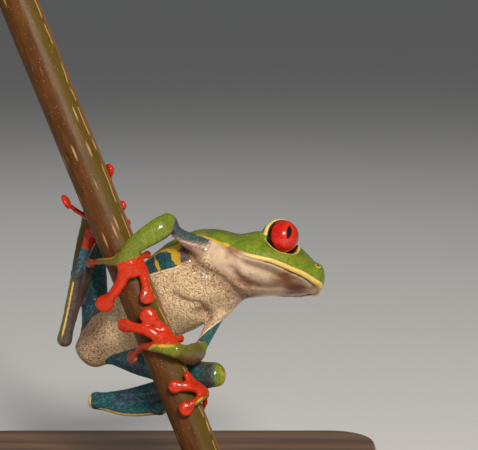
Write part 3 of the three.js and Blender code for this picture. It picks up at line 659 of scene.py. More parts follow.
def handPaint(name, points, place, part):
    fields = blank(points)
    x, y, z = points.T
    fields["red"] = np.full(len(points), far)
    outward = outwardFrom(part, points, place)
    if name.startswith("handRight"):
        (px, pz), (nx, nz) = rightHandEdge
        olive = np.minimum((x - px) * nx + (z - pz) * nz, x + 11.2)
        fields["green"] = olive + 0.5
        fields["red"] = -olive
        fields["yellow"] = np.minimum((outward[:, 2] - 0.62) * 0.8, olive)
    if name.startswith("handLeft"):
        upperEdge = leftHandEdge - 0.8 * np.maximum(0, -0.9 - x)
        olive = np.minimum(upperEdge - z, x + 3.7)
        fields["green"] = olive + 0.5
        fields["red"] = -olive
        fields["yellow"] = 0.22 - np.abs(z - upperEdge + 0.25)
    if name in ("footLeft4shaft", "footLeft"):
        olive = ((outward @ unit((0.75, 0.1, -0.5))) - 0.35) * 0.9
        fields["green"] = np.minimum(olive, z + 37)
        fields["yellow"] = np.minimum(olive + 0.15, 0.2 - olive)
        fields["red"] = -fields["green"]
    if name in ("footRight", "footLeft"):
        fields["red"] = np.minimum(fields["red"], (place - 0.6) * 6)
    if name.startswith("foot"):
        fields["blue"] = np.full(len(points), far)
    return fields


def headPaint(points):
    behind, aside, above = headPlace(points)
    fields = blank(points)
    fields["green"] = lipOffset(behind, above) - lip["half"] + 0.02
    return fields


def trunkPaint(points, place, across, over):
    # angle from the middle of the back, 90 at the flank's widest and 180 at the belly
    angle = np.degrees(np.arctan2(np.abs(across), over))
    between = lambda low, high: np.minimum(place - low, high - place) * trunkMm["place"]
    greenEdge = knotCurve(backEdge, place)[:, 0]
    bellyEdge = knotCurve(flankEdge, place)[:, 0]
    fields = blank(points)
    pastGreen = (angle - greenEdge) * trunkMm["degree"]
    fields["green"] = -pastGreen
    fields["blue"] = np.minimum((bellyEdge - angle) * trunkMm["degree"], between(0.232, 0.93))
    barPhase = (place - flankBars["first"]) / flankBars["apart"]
    fromBar = np.abs((barPhase + 0.5) % 1 - 0.5) * flankBars["apart"] * trunkMm["place"]
    wide = flankBars["half"] * (1 + 0.9 * ramp(-place, -0.335, -0.325))
    wide = wide * (0.75 + 0.4 * np.cos(angle / 6))
    bar = np.minimum(wide - fromBar, np.minimum(fields["blue"] + 0.1, pastGreen))
    thick = flankBars["top"] * (0.35 + 0.75 * bump(place, flankBars["first"], 0.035))
    topBand = np.minimum(thick - np.abs(pastGreen - thick), between(0.255, 0.9))
    stripe = np.minimum(lip["stripeHalf"] - np.abs(pastGreen - 0.1), between(0.05, 0.25))
    fields["yellow"] = np.maximum(bar, np.maximum(topBand, stripe))
    return fields


def partShade(name, points):
    # how far a part is darkened toward the shade's brown, 0 to 1: mostly painted shade where it lies in
    # shadow, partly its own brown
    x, y, z = points.T
    if name == "trunk":
        # painted shade over the trunk's rear and in the left armpit
        armpit = bump(np.linalg.norm((points - np.array(leftArmpitShade)) * (0.75, 0.5, 1), axis=1), 0, 1.1)
        return 0.95 * np.maximum(ramp(-x, 6.5, 12.5), armpit)
    if name in shadedParts:
        return np.full(len(points), shadedParts[name])
    # the left forearm gets more painted shade toward its underside
    if name == "armLeftFore":
        return 0.7 + 0.3 * ramp(-z, 23.0, 24.3)
    if name.startswith("legLeft") and name != "legLeftTarsus":
        return 0.5 * bump(x, kneeCap - 1.2, 1.1)
    return np.zeros(len(points))


def paintSkin(points, parts):
    # every part's pigments, each weighted by how near the part's surface is
    total = {pigment: np.zeros(len(points)) for pigment in (*paints, "granular", "shaded")}
    weights = np.zeros(len(points))
    for name, (part, fillet) in parts.items():
        room = part["size"].max() + 1.2
        low, high = part["centre"].min(0) - room, part["centre"].max(0) + room
        near = np.flatnonzero(((points > low) & (points < high)).all(1))
        distance, place, across, over = measure(part, points[near])
        weight = np.exp(-np.clip(distance, -0.3, 3) / 0.2)
        if name == "trunk":
            fields = trunkPaint(points[near], place, across, over)
        elif name == "head" or name.startswith("canthus"):
            fields = headPaint(points[near])
        elif name in limbs:
            fields = limbPaint(name, points[near], place, part)
        else:
            fields = handPaint(name, points[near], place, part)
        for pigment in paints:
            total[pigment][near] += weight * np.clip(fields[pigment], -far, far)
        total["granular"][near] += weight * granularParts.get(name, 0)
        total["shaded"][near] += weight * partShade(name, points[near])
        weights[near] += weight
    for sign in (1, -1):  # the lids are green, whichever part is near
        offset = np.linalg.norm(points - eyeFrame(sign)[0], axis=1)
        lid = 40 * (1 - ramp(offset, eye["radius"] + 0.6, eye["radius"] + 1.1))
        weights += lid
        total["green"] += lid * 1.5
        for pigment in ("blue", "red", "yellow", "cream"):
            total[pigment] -= lid * far
    for pigment in total:
        total[pigment] /= np.maximum(weights, 1e-9)
    toStripe = distanceAlong(points, shoulderStripe)
    overStripe = distanceAlong(points, np.array(shoulderStripe) + (0, 0.3, 0.75))
    total["green"] = np.maximum(total["green"], 0.75 - overStripe)
    total["yellow"] = np.maximum(total["yellow"], lip["stripeHalf"] - toStripe)
    return total


rimMarks = dict(upperFrom=0.25, upperTo=0.6, lidDepth=0.3, lidSlant=0.1, lidReach=0.7,
                gap=0.25, gapAhead=0.3, strip=0.17, stripAt=0.1, darkTo=0.15)  # mm


def skinMarks(points):
    # mm inside the pale rims, and inside the dark clefts, which are painted shade
    behind, aside, above = headPlace(points)
    over = lipOffset(behind, above)
    onHead = np.where(behind < lip["corner"] + 1.5, 0, -far)
    fadeBack, fadeFront = 0.45 * ramp(behind, 13.4, 16.2), 0.2 * ramp(-behind, -2, 0.2)
    pale = lip["half"] - np.abs(over) + onHead - fadeBack - fadeFront
    fadeBack, fadeFront = 0.12 * ramp(behind, 11, 16), 0.2 * ramp(-behind, -2.2, -0.6)
    # a thin line of painted shade in the mouth's cleft, under the lip
    dark = 0.09 - np.abs(over + lip["half"] + 0.09) + onHead - fadeBack - fadeFront
    for sign in (1, -1):
        centre, _, _, opening = eyeFrame(sign)
        offset = points - centre
        distance = np.linalg.norm(offset, axis=1)
        upAndBack = (offset @ unit(headBack - headForward)) / distance
        upper = ramp(upAndBack, rimMarks["upperFrom"], rimMarks["upperTo"])
        behindLid = (offset @ opening - eye["reach"] + rimMarks["lidDepth"]
                     + rimMarks["lidSlant"] * upAndBack)
        onLid = np.minimum(behindLid, eye["radius"] + rimMarks["lidReach"] - distance) - 1 + upper
        fromBowl = np.linalg.norm(offset - eye["bowlAhead"] * opening, axis=1) - eye["bowl"]
        ahead = ramp((offset @ headForward) / distance, 0.3, 0.7)
        gap = distance - eye["radius"] - rimMarks["gap"] - rimMarks["gapAhead"] * ahead
        onEdge = np.minimum(rimMarks["strip"] - np.abs(fromBowl - rimMarks["stripAt"]), gap) - upper
        pale = np.maximum(pale, np.maximum(onLid, onEdge))
        # painted shade in the hollow round the eyeball, inside the lids
        dark = np.maximum(dark, np.minimum(-gap, rimMarks["darkTo"] - fromBowl) - upper)
    away = headSpots(behind, aside, above, nostril)
    pale = np.maximum(pale, 0.13 - np.abs(away - 0.42))
    # painted shade in the nostril's pit
    dark = np.maximum(dark, 0.33 - away)
    return pale, dark


def foldShadeDepth(points):
    # how much painted shade a point gets, 0 to 1: under the lip and along the valleys
    behind, _, above = headPlace(points)
    # painted shade in the band under the lip's edge, where the upper jaw shades the lower
    underLipShade = bump(lipOffset(behind, above), -lip["half"] - 0.65, 0.5)
    deep = 0.9 * underLipShade * ramp(behind, 0.5, 2.5)
    deep = deep * (1 - ramp(behind, lip["corner"] - 2, lip["corner"]))
    for path, depth, half in valleys:
        deepAndNarrow = depth > 0.7 and half < 1
        share, spread = min(depth * 1.4, 1), half * (foldShadeSpread if deepAndNarrow else 1.0)
        deep = np.maximum(deep, share * bump(distanceAlong(points, path), 0, spread))
    return deep


def putAttribute(mesh, name, values):
    layer = mesh.attributes.new(name, "FLOAT_COLOR", "POINT")
    layer.data.foreach_set("color", np.asarray(values, np.float32).ravel())


def meshObject(name, points, quads, attributes=None):
    mesh = bpy.data.meshes.new(name)
    mesh.vertices.add(len(points))
    mesh.vertices.foreach_set("co", points.astype(np.float32).ravel())
    mesh.loops.add(quads.size)
    mesh.loops.foreach_set("vertex_index", quads.astype(np.int32).ravel())
    mesh.polygons.add(len(quads))
    mesh.polygons.foreach_set("loop_start", np.arange(0, quads.size, quads.shape[1], dtype=np.int32))
    mesh.update(calc_edges=True)
    mesh.polygons.foreach_set("use_smooth", np.ones(len(quads), bool))
    for key, values in (attributes or {}).items():
        putAttribute(mesh, key, values)
    mesh.validate()
    piece = bpy.data.objects.new(name, mesh)
    bpy.context.collection.objects.link(piece)
    return piece


def makeSkin():
    parts = makeBody()
    axes = [gridLine(span[0], span[1], skinGrid["step"], span[2], span[3], skinGrid["fine"])
            for span in (skinGrid["x"], skinGrid["y"], skinGrid["z"])]
    print("skin grid", [len(axis) for axis in axes])
    points, quads = largestSurface(*surfaceOf(bodyField(parts, axes), axes))
    for _ in range(2):
        points = points + 0.5 * (neighbourMean(points, quads, len(points)) - points)
    pigment = paintSkin(points, parts)
    pale, dark = skinMarks(points)
    pale = np.maximum(pale, pigment["cream"])
    coloured = np.maximum(pigment["green"], np.maximum(pigment["red"], pigment["blue"]))
    granules = pigment["granular"] * (1 - ramp(coloured, -0.6, 0.3))
    points = points + normalsOf(points, quads) * skinRelief(points)[:, None]
    print("skin", len(points), "points", len(quads), "quads")
    return meshObject("frogSkin", toModel(points), quads, {
        "pigmentA": np.stack([pigment[name] for name in pigments], 1),
        # pale rims, painted shade in the clefts, grains, and painted shade under the lip, in the
        # valleys and on shaded parts
        "marksAndShade": np.stack([pale, dark, granules, np.maximum(foldShadeDepth(points), pigment["shaded"])], 1)})


iris = dict(edge=71.5, slitWide=0.15, slitTall=0.4, rings=120, segments=160,  # degrees, radii
            red=(0.62, 0.012, 0.003), deepRed=(0.36, 0.004, 0.002), orange=(0.72, 0.045, 0.005),
            dark=(0.004, 0.003, 0.005))


def makeEyeball(sign):
    # a ball about the gaze: rings by angle from the gaze, with the cornea a little prouder
    centre, gaze, socket, _ = eyeFrame(sign)
    upward = unit(headBack - (headBack @ gaze) * gaze)
    sideways = np.cross(upward, gaze)
    theta = np.linspace(0.0, np.pi, iris["rings"])[:, None]
    phi = np.linspace(0, 2 * np.pi, iris["segments"], endpoint=False)[None, :]
    radius = eye["radius"] - 0.03 + 0.05 * np.exp(-(theta / 0.7) ** 2)
    flatX = np.sin(theta) * np.cos(phi)
    flatY = np.sin(theta) * np.sin(phi)
    outward = (np.cos(theta) + 0 * phi)[..., None] * gaze + flatX[..., None] * sideways
    outward = outward + flatY[..., None] * upward
    look = np.stack([flatX, flatY, outward @ socket, np.ones_like(flatX)], -1)
    name = "eyeballRight" if sign > 0 else "eyeballLeft"
    return gridObject(name, toModel(centre + radius[..., None] * outward), {"look": look})


def gridObject(name, points, attributes=None):
    # a grid closed round its second direction, its first and last rows shrunk to points
    rows, columns = points.shape[:2]
    number = np.arange(rows * columns).reshape(rows, columns)
    a, b = number[:-1], number[1:]
    quads = np.stack([a, np.roll(a, -1, 1), np.roll(b, -1, 1), b], -1).reshape(-1, 4)
    looks = {key: values.reshape(-1, 4) for key, values in (attributes or {}).items()}
    piece = meshObject(name, points.reshape(-1, 3), quads, looks)
    work = bmesh.new()
    work.from_mesh(piece.data)
    bmesh.ops.remove_doubles(work, verts=work.verts, dist=1e-6)
    bmesh.ops.recalc_face_normals(work, faces=work.faces)
    work.to_mesh(piece.data)
    work.free()
    return piece


bark = dict(rings=420, segments=120, ridge=0.07, bore=1.78, boreDepth=9.2, endRows=(8, 8, 11),
            waves=((0.5, 3, 0.05), (0.3, 7, -0.08), (0.2, 2, 0.21)))  # share, turns, twist


def stemPoints(along, phi, radius):
    return toModel(stemOrigin + along[..., None] * stemUp + (radius * np.sin(phi))[..., None] * stemSide
                   - (radius * np.cos(phi))[..., None] * np.array([0, 1.0, 0]))


def makeStem():
    # a long tube with shallow lengthwise ridges, closed by its two cut faces and a bored
    # socket for the pin in the lower one; look holds the place along it, the way round and
    # 1 on the bark
    low, high = stem["foot"], stem["top"]
    along = np.linspace(low, high, bark["rings"])
    phi = np.linspace(0, 2 * np.pi, bark["segments"], endpoint=False)
    a, p = np.meshgrid(along, phi, indexing="ij")
    radius = stem["radius"] - stem["taper"] * (high - a) / (high - low)
    wave = sum(share * np.sin(turns * p + twist * a) for share, turns, twist in bark["waves"])
    radius = radius - bark["ridge"] * (0.5 + 0.5 * wave)
    ends = np.minimum(a - low, high - a)
    radius = radius - 0.18 * np.exp(-ends / 0.12)
    bore = bark["bore"]
    socketRows, footRows, topRows = bark["endRows"]
    socket = np.array([0] + [1] * (socketRows - 1))[:, None] * bore + 0 * phi
    foot = (bore + (radius[0] - bore) * np.linspace(0, 1, footRows + 2)[:, None])[1:-1]
    top = (radius[-1] * np.linspace(1, 0, topRows + 1)[:, None] ** 0.8)[1:]
    allAlong = np.concatenate([low + np.linspace(bark["boreDepth"], 0, socketRows),
                               np.full(footRows, low), along, np.full(topRows, high)])
    allAlong = allAlong[:, None] + 0 * phi
    points = stemPoints(allAlong, 0 * allAlong + phi, np.concatenate([socket, foot, radius, top]))
    onBark = np.zeros_like(allAlong)
    onBark[socketRows + footRows:-topRows] = 1
    look = np.stack([allAlong, 0 * allAlong + np.sin(phi), 0 * allAlong + np.cos(phi), onBark], -1)
    return gridObject("stemBark", points, {"look": look})


slab = dict(halfX=42.0, halfY=33.0, height=6.0, corner=9.0, edge=1.1, perCorner=24, perEdge=8)


def makeBase():
    # a rounded rectangle's outline, drawn in by a quarter circle at its lower and upper edges
    turn = np.linspace(0, np.pi / 2, slab["perEdge"])
    inset = slab["edge"] * (1 - np.sin(turn))
    rise = slab["edge"] * (1 - np.cos(turn))
    inset = np.concatenate([[slab["edge"] + 0.5], inset, inset[::-1], [slab["edge"] + 0.5]])[:, None]
    rise = np.concatenate([[0], rise, slab["height"] - rise[::-1], [slab["height"]]])[:, None]
    quarter = np.arange(4).repeat(slab["perCorner"])
    way = (quarter + np.tile(np.linspace(0, 1, slab["perCorner"]), 4)) * np.pi / 2
    cornerX = np.array([1, -1, -1, 1])[quarter] * (slab["halfX"] - slab["corner"])
    cornerY = np.array([1, 1, -1, -1])[quarter] * (slab["halfY"] - slab["corner"])
    x = cornerX + (slab["corner"] - inset) * np.cos(way)
    y = cornerY + (slab["corner"] - inset) * np.sin(way)
    outline = np.stack([x, y, rise + 0 * way], -1)
    under, over = np.zeros((2, 1, len(way), 3))
    over[..., 2] = slab["height"]
    return gridObject("standSlab", np.concatenate([under, outline, over]) / 1000)


pin = dict(radius=1.5, footHeight=2.5, top=-37.4, collarHeight=8.4, collar=(2.0, 3.0, 2.4))


def makePin():
    # a round rod along the stem's axis with a conical collar; the profile is (place, radius)
    onAxis = toModel(np.array([stemOrigin, stemOrigin + stemUp]))[:, 2] * 1000
    heights = np.array([pin["footHeight"], pin["collarHeight"]])
    foot, middle = (heights - onAxis[0]) / (onAxis[1] - onAxis[0])
    tall, wide, narrow = pin["collar"]
    low, high, r = middle - tall / 2, middle + tall / 2, pin["radius"]
    profile = [
        (foot, 0), (foot, r), (low - 0.02, r), (low, r + 0.02), (low, wide - 0.25),
        (low + 0.04, wide - 0.1), (low + 0.12, wide - 0.03), (low + 0.25, wide),
        (high - 0.25, narrow + 0.08), (high - 0.12, narrow + 0.02), (high - 0.04, narrow - 0.08),
        (high, narrow - 0.2), (high, r + 0.02), (high + 0.02, r), (pin["top"] - 0.2, r),
        (pin["top"], r - 0.2), (pin["top"], 0)]
    phi = np.linspace(0, 2 * np.pi, 96, endpoint=False)
    along, radius = (np.array(column)[:, None] + 0 * phi for column in zip(*profile))
    return gridObject("standPin", stemPoints(along, 0 * along + phi, radius))


def newMaterial(name):
    material = bpy.data.materials.new(name)
    material.use_nodes = True
    return material, material.node_tree, material.node_tree.nodes["Principled BSDF"]


def join(tree, value, socket):
    # a link from another socket, or a constant
    if isinstance(value, bpy.types.NodeSocket):
        tree.links.new(value, socket)
    elif isinstance(value, tuple) and len(value) == 3 and socket.type == "RGBA":
        socket.default_value = (*value, 1)
    else:
        socket.default_value = value


def node(tree, kind, inputs=None, **settings):
    made = tree.nodes.new(kind)
    for key, value in settings.items():
        setattr(made, key, value)
    for key, value in (inputs or {}).items():
        join(tree, value, made.inputs[key])
    return made


def calc(tree, operation, *values):
    made = node(tree, "ShaderNodeMath", dict(enumerate(values)), operation=operation)
    return made.outputs[0]


def times(tree, a, b):
    return calc(tree, "MULTIPLY", a, b)


def scaled(tree, value, factor, added):
    return calc(tree, "MULTIPLY_ADD", value, factor, added)


def mixColour(tree, factor, a, b):
    return node(tree, "ShaderNodeMix", {0: factor, 6: a, 7: b}, data_type="RGBA").outputs[2]


def layered(tree, base, *layers):
    # one colour over another, each as (how much of it shows, the colour)
    for shown, colour in layers:
        base = mixColour(tree, shown, base, colour)
    return base


def finish(tree, shader, values):
    # the shader's sockets by name, each from another socket or a constant
    for name, value in values.items():
        join(tree, value, shader.inputs[name])


def edge(tree, field, low, high):
    # 0 to 1 with a soft step as the field goes from low to high
    return node(tree, "ShaderNodeMapRange", {"Value": field, "From Min": low, "From Max": high},
                interpolation_type="SMOOTHSTEP").outputs[0]


def parted(tree, colour):
    return node(tree, "ShaderNodeSeparateColor", {"Color": colour}).outputs


def coordinates(tree):
    return node(tree, "ShaderNodeTexCoord").outputs["Object"]


def noise(tree, vector, scale, detail=3.0):
    made = node(tree, "ShaderNodeTexNoise", {"Vector": vector, "Scale": scale, "Detail": detail})
    return made.outputs["Fac"]


def stretched(tree, vector, amounts):
    return node(tree, "ShaderNodeVectorMath", {0: vector, 1: amounts}, operation="MULTIPLY").outputs[0]


def newGroup(name, inputs, outputs):
    group = bpy.data.node_groups.new(name, "ShaderNodeTree")
    for label, kind in inputs.items():
        group.interface.new_socket(label, in_out="INPUT", socket_type="NodeSocket" + kind)
    for label in outputs:
        group.interface.new_socket(label, in_out="OUTPUT", socket_type="NodeSocketFloat")
    return group, node(group, "NodeGroupInput").outputs, node(group, "NodeGroupOutput").inputs


def mottleGroup():
    # soft patches: 0 to 1 as a noise goes from Low to High
    group, given, wanted = newGroup("mottle", {"Vector": "Vector", "Scale": "Float", "Low": "Float",
                                               "High": "Float"}, ["Amount"])
    patches = noise(group, given["Vector"], given["Scale"], 4.0)
    join(group, edge(group, patches, given["Low"], given["High"]), wanted["Amount"])
    return group


def beadGroup():
    # round grains: Bead is 1 in a grain's middle and 0 between grains; Pick differs by grain
    group, given, wanted = newGroup("beads", {"Vector": "Vector", "Scale": "Float", "Size": "Float"},
                                    ["Bead", "Pick"])
    cells = node(group, "ShaderNodeTexVoronoi", {"Vector": given["Vector"], "Scale": given["Scale"]})
    core = times(group, given["Size"], 0.4)
    join(group, edge(group, cells.outputs["Distance"], given["Size"], core), wanted["Bead"])
    join(group, parted(group, cells.outputs["Color"])[0], wanted["Pick"])
    return group


mottle, beads = mottleGroup(), beadGroup()


def patches(tree, vector, scale, low, high):
    return node(tree, "ShaderNodeGroup", {"Vector": vector, "Scale": scale, "Low": low, "High": high},
                node_tree=mottle).outputs["Amount"]


def grains(tree, vector, scale, size):
    made = node(tree, "ShaderNodeGroup", {"Vector": vector, "Scale": scale, "Size": size},
                node_tree=beads)
    return made.outputs["Bead"], made.outputs["Pick"]


def relief(tree, shader, height, depth):
    # a bump map: height 0 to 1 stands for `depth` metres
    bumped = node(tree, "ShaderNodeBump", {"Height": height, "Strength": 1.0, "Distance": depth})
    join(tree, bumped.outputs[0], shader.inputs["Normal"])


skinColours = dict(
    green=(0.2, 0.26, 0.014), deepGreen=(0.1, 0.16, 0.008), olive=(0.24, 0.22, 0.016),
    umber=(0.09, 0.1, 0.008), speck=(0.36, 0.4, 0.06), belly=(0.92, 0.7, 0.41),
    bellyGapShade=(0.44, 0.26, 0.12), throat=(0.64, 0.48, 0.33), blush=(0.36, 0.17, 0.1),
    blue=(0.012, 0.08, 0.078), violet=(0.04, 0.035, 0.075), mauve=(0.3, 0.18, 0.17),
    gleam=(0.07, 0.25, 0.3), yellow=(0.66, 0.4, 0.03), rim=(0.74, 0.5, 0.13),
    red=(0.52, 0.024, 0.001), deepRed=(0.36, 0.012, 0.002), dark=(0.03, 0.014, 0.008),
    # the last two are painted shade: in the clefts, and in the valleys and on shaded parts
    foldShade=(0.12, 0.036, 0.016))
skinPatches = dict(  # scale, and the noise where a patch starts and is full
    blush=(240.0, 0.42, 0.64), violet=(260.0, 0.42, 0.62), deepGreen=(300.0, 0.42, 0.68),
    olive=(620.0, 0.5, 0.72), wrinkle=(1900.0, 0.42, 0.62), umber=(190.0, 0.3, 0.6),
    deepRed=(500.0, 0.5, 0.75))
skinGrains = dict(bead=(3200.0, 0.95), speck=(3600.0, 0.3))  # scale, size
skinNoises = dict(fine=(4200.0, 4.0), wobble=(900.0, 3.0))  # scale, detail
skinBump = 0.0001  # metres


def skinMaterial():
    c = skinColours
    material, tree, shader = newMaterial("frogSkin")
    vector = coordinates(tree)
    first = node(tree, "ShaderNodeVertexColor", layer_name="pigmentA")
    second = node(tree, "ShaderNodeVertexColor", layer_name="marksAndShade")
    green, blue, red = parted(tree, first.outputs["Color"])
    pale, dark, granular = parted(tree, second.outputs["Color"])
    yellow, paintedShade = first.outputs["Alpha"], second.outputs["Alpha"]
    spots = {name: patches(tree, vector, *values) for name, values in skinPatches.items()}
    # the colours' edges wander by a few tenths of a millimetre
    fine = noise(tree, vector, *skinNoises["fine"])
    wobble = scaled(tree, noise(tree, vector, *skinNoises["wobble"]), 1.2, -0.6)
    wobble = calc(tree, "ADD", wobble, scaled(tree, fine, 0.5, -0.25))

    def inside(field, share, soft):
        return edge(tree, scaled(tree, wobble, share, field), -soft, soft)

    bead, pick = grains(tree, vector, *skinGrains["bead"])
    speck, chosen = grains(tree, vector, *skinGrains["speck"])
    # the belly's grains, with painted shade in the hollows between them
    bellyTone = mixColour(tree, bead, c["bellyGapShade"], mixColour(tree, pick, c["belly"], c["throat"]))
    throatTone = mixColour(tree, spots["blush"], c["throat"], c["blush"])
    halo = times(tree, inside(calc(tree, "ADD", blue, 0.55), 0.5, 0.4),
                 calc(tree, "SUBTRACT", 1.0, granular))
    gleam = times(tree, bead, edge(tree, pick, 0.45, 0.9))
    blueTone = layered(tree, c["blue"], (times(tree, spots["violet"], 0.7), c["violet"]),
                       (times(tree, gleam, 0.5), c["gleam"]))
    toothed = scaled(tree, bead, times(tree, granular, -0.9), blue)
    row = times(tree, edge(tree, calc(tree, "ABSOLUTE", blue), 0.32, 0.12),
                edge(tree, granular, 0.02, 0.2))
    speck = times(tree, speck, edge(tree, chosen, 0.5, 0.8))
    upper = times(tree, edge(tree, green, 1.6, 3.0), spots["umber"])
    greenTone = layered(
        tree, c["green"],
        (spots["deepGreen"], c["deepGreen"]),
        (spots["olive"], c["olive"]),
        (times(tree, spots["wrinkle"], 0.6), c["deepGreen"]),
        (scaled(tree, bead, -0.45, 0.45), c["deepGreen"]),
        (times(tree, speck, 0.5), c["speck"]),
        (times(tree, upper, 0.6), c["umber"]))
    redTone = mixColour(tree, spots["deepRed"], c["red"], c["deepRed"])
    # painted shade, a little lighter on the grains
    paintedShadeShown = scaled(tree, times(tree, bead, granular), -0.25, 0.85)
    base = layered(
        tree, throatTone,
        (edge(tree, granular, 0.25, 0.75), bellyTone),
        (times(tree, halo, 0.8), mixColour(tree, bead, c["violet"], c["mauve"])),
        (inside(toothed, 0.8, 0.3), blueTone),
        (times(tree, row, bead), c["belly"]),
        (inside(green, 0.5, 0.1), greenTone),
        (inside(red, 0.6, 0.2), redTone),
        (inside(yellow, 0.45, 0.1), c["yellow"]),
        # painted shade in the valleys, under the lip and on the parts that lie in shadow
        (times(tree, paintedShade, paintedShadeShown), c["foldShade"]),
        (inside(pale, 0.12, 0.06), c["rim"]),
        # painted shade in the clefts
        (inside(dark, 0.1, 0.07), c["dark"]))
    grainy = times(tree, bead, scaled(tree, granular, 0.9, 0.1))
    grainy = scaled(tree, spots["wrinkle"], -0.35, grainy)
    relief(tree, shader, scaled(tree, fine, 0.45, grainy), skinBump)
    wet = edge(tree, red, -0.3, 0.3)
    finish(tree, shader, {
        "Base Color": base, "Roughness": scaled(tree, wet, -0.12, scaled(tree, fine, 0.25, 0.25)),
        "Coat Weight": scaled(tree, granular, -0.32, 0.4), "Coat Roughness": 0.08,
        "Subsurface Weight": 0.3, "Subsurface Radius": (1.0, 0.45, 0.2),
        "Subsurface Scale": 0.0008, "Specular IOR Level": 0.2})
    return material


def eyeMaterial():
    # look: aside and above on the iris as shares of the radius, and the cosine to the lids' axis
    material, tree, shader = newMaterial("frogEye")
    look = node(tree, "ShaderNodeVertexColor", layer_name="look")
    x, y, inLids = parted(tree, look.outputs["Color"])
    wide = calc(tree, "ABSOLUTE", calc(tree, "DIVIDE", x, iris["slitWide"]))
    tall = calc(tree, "ABSOLUTE", calc(tree, "DIVIDE", y, iris["slitTall"]))
    slit = calc(tree, "ADD", calc(tree, "POWER", wide, 1.3), calc(tree, "POWER", tall, 1.8))
    away = calc(tree, "SQRT", calc(tree, "ADD", times(tree, x, x), times(tree, y, y)))
    ray = node(tree, "ShaderNodeCombineXYZ", {
        "X": calc(tree, "DIVIDE", x, away), "Y": calc(tree, "DIVIDE", y, away),
        "Z": times(tree, away, 0.6)})
    fibres = patches(tree, ray.outputs[0], 16.0, 0.4, 0.6)
    red = layered(tree, iris["red"], (fibres, iris["deepRed"]),
                  (times(tree, edge(tree, slit, 5.0, 1.0), 0.45), iris["orange"]),
                  (edge(tree, slit, 1.5, 1.15), iris["deepRed"]))
    limit = math.cos(math.radians(iris["edge"]))
    base = layered(tree, iris["dark"], (edge(tree, inLids, limit - 0.02, limit + 0.02), red),
                   (edge(tree, slit, 1.08, 0.92), iris["dark"]))
    finish(tree, shader, {
        "Base Color": base, "Roughness": scaled(tree, fibres, 0.1, 0.3),
        "Specular IOR Level": 0.15, "Coat Weight": 0.7, "Coat Roughness": 0.03})
    return material


stemColours = dict(
    brown=(0.12, 0.042, 0.008), dark=(0.06, 0.02, 0.005), olive=(0.1, 0.075, 0.01),
    fleck=(0.5, 0.28, 0.11), ridge=(0.36, 0.14, 0.06), cut=(0.55, 0.42, 0.22),
    pith=(0.3, 0.17, 0.07))
stemPatterns = dict(  # cells per mm along the stem, and round it
    streaks=(0.16, 3.5, 3.5), lenticels=(0.13, 3.0, 3.0), specks=(1.1, 4.5, 4.5),
    crackPath=(0.12, 0, 0), crackBreaks=(0.2, 0, 0))


def stemMaterial():
    # look: mm along the stem, sine and cosine of the way round, and 1 on the bark
    c = stemColours
    material, tree, shader = newMaterial("stemBark")
    look = node(tree, "ShaderNodeVertexColor", layer_name="look")
    along, sine, cosine = parted(tree, look.outputs["Color"])
    spread = node(tree, "ShaderNodeCombineXYZ", {"X": along, "Y": sine, "Z": cosine}).outputs[0]
    at = {name: stretched(tree, spread, amounts) for name, amounts in stemPatterns.items()}
    streaks = at["streaks"]
    # painted light: the stem's right side, where the light falls, is more olive
    paintedLitSide = edge(tree, scaled(tree, noise(tree, streaks, 0.7), 0.8, sine), 0.2, 1.2)
    lenticel, pick = grains(tree, at["lenticels"], 1.0, 0.26)
    lenticel = times(tree, lenticel, edge(tree, pick, 0.62, 0.7))
    speck, chosen = grains(tree, at["specks"], 1.6, 0.3)
    speck = times(tree, speck, edge(tree, chosen, 0.6, 0.9))
    wander = scaled(tree, noise(tree, at["crackPath"], 1.0, 3.0), 0.3, 0.7)
    fromCrack = calc(tree, "ABSOLUTE", calc(tree, "SUBTRACT", sine, wander))
    crack = times(tree, edge(tree, fromCrack, 0.035, 0.015), edge(tree, cosine, 0, 0.1))
    crack = times(tree, crack, patches(tree, at["crackBreaks"], 1.0, 0.44, 0.5))
    barkTone = layered(
        tree, c["dark"],
        (patches(tree, streaks, 1.3, 0.2, 0.75), c["brown"]),
        (times(tree, paintedLitSide, 0.7), c["olive"]),
        (times(tree, lenticel, 0.8), c["fleck"]),
        (times(tree, speck, 0.35), c["fleck"]),
        # a painted highlight: a pale band down the stem's lit right edge
        (times(tree, edge(tree, sine, 0.86, 0.97), 0.5), c["ridge"]),
        (times(tree, crack, 0.85), c["fleck"]))
    cut = mixColour(tree, patches(tree, coordinates(tree), 1500.0, 0.35, 0.65), c["cut"], c["pith"])
    relief(tree, shader, scaled(tree, lenticel, 1.2, noise(tree, streaks, 2.2, 6.0)), 0.00007)
    finish(tree, shader, {
        "Base Color": mixColour(tree, look.outputs["Alpha"], cut, barkTone),
        "Roughness": scaled(tree, lenticel, 0.2, 0.45), "Specular IOR Level": 0.18})
    return material


wood = dict(light=(0.2, 0.1, 0.042), dark=(0.075, 0.034, 0.015))


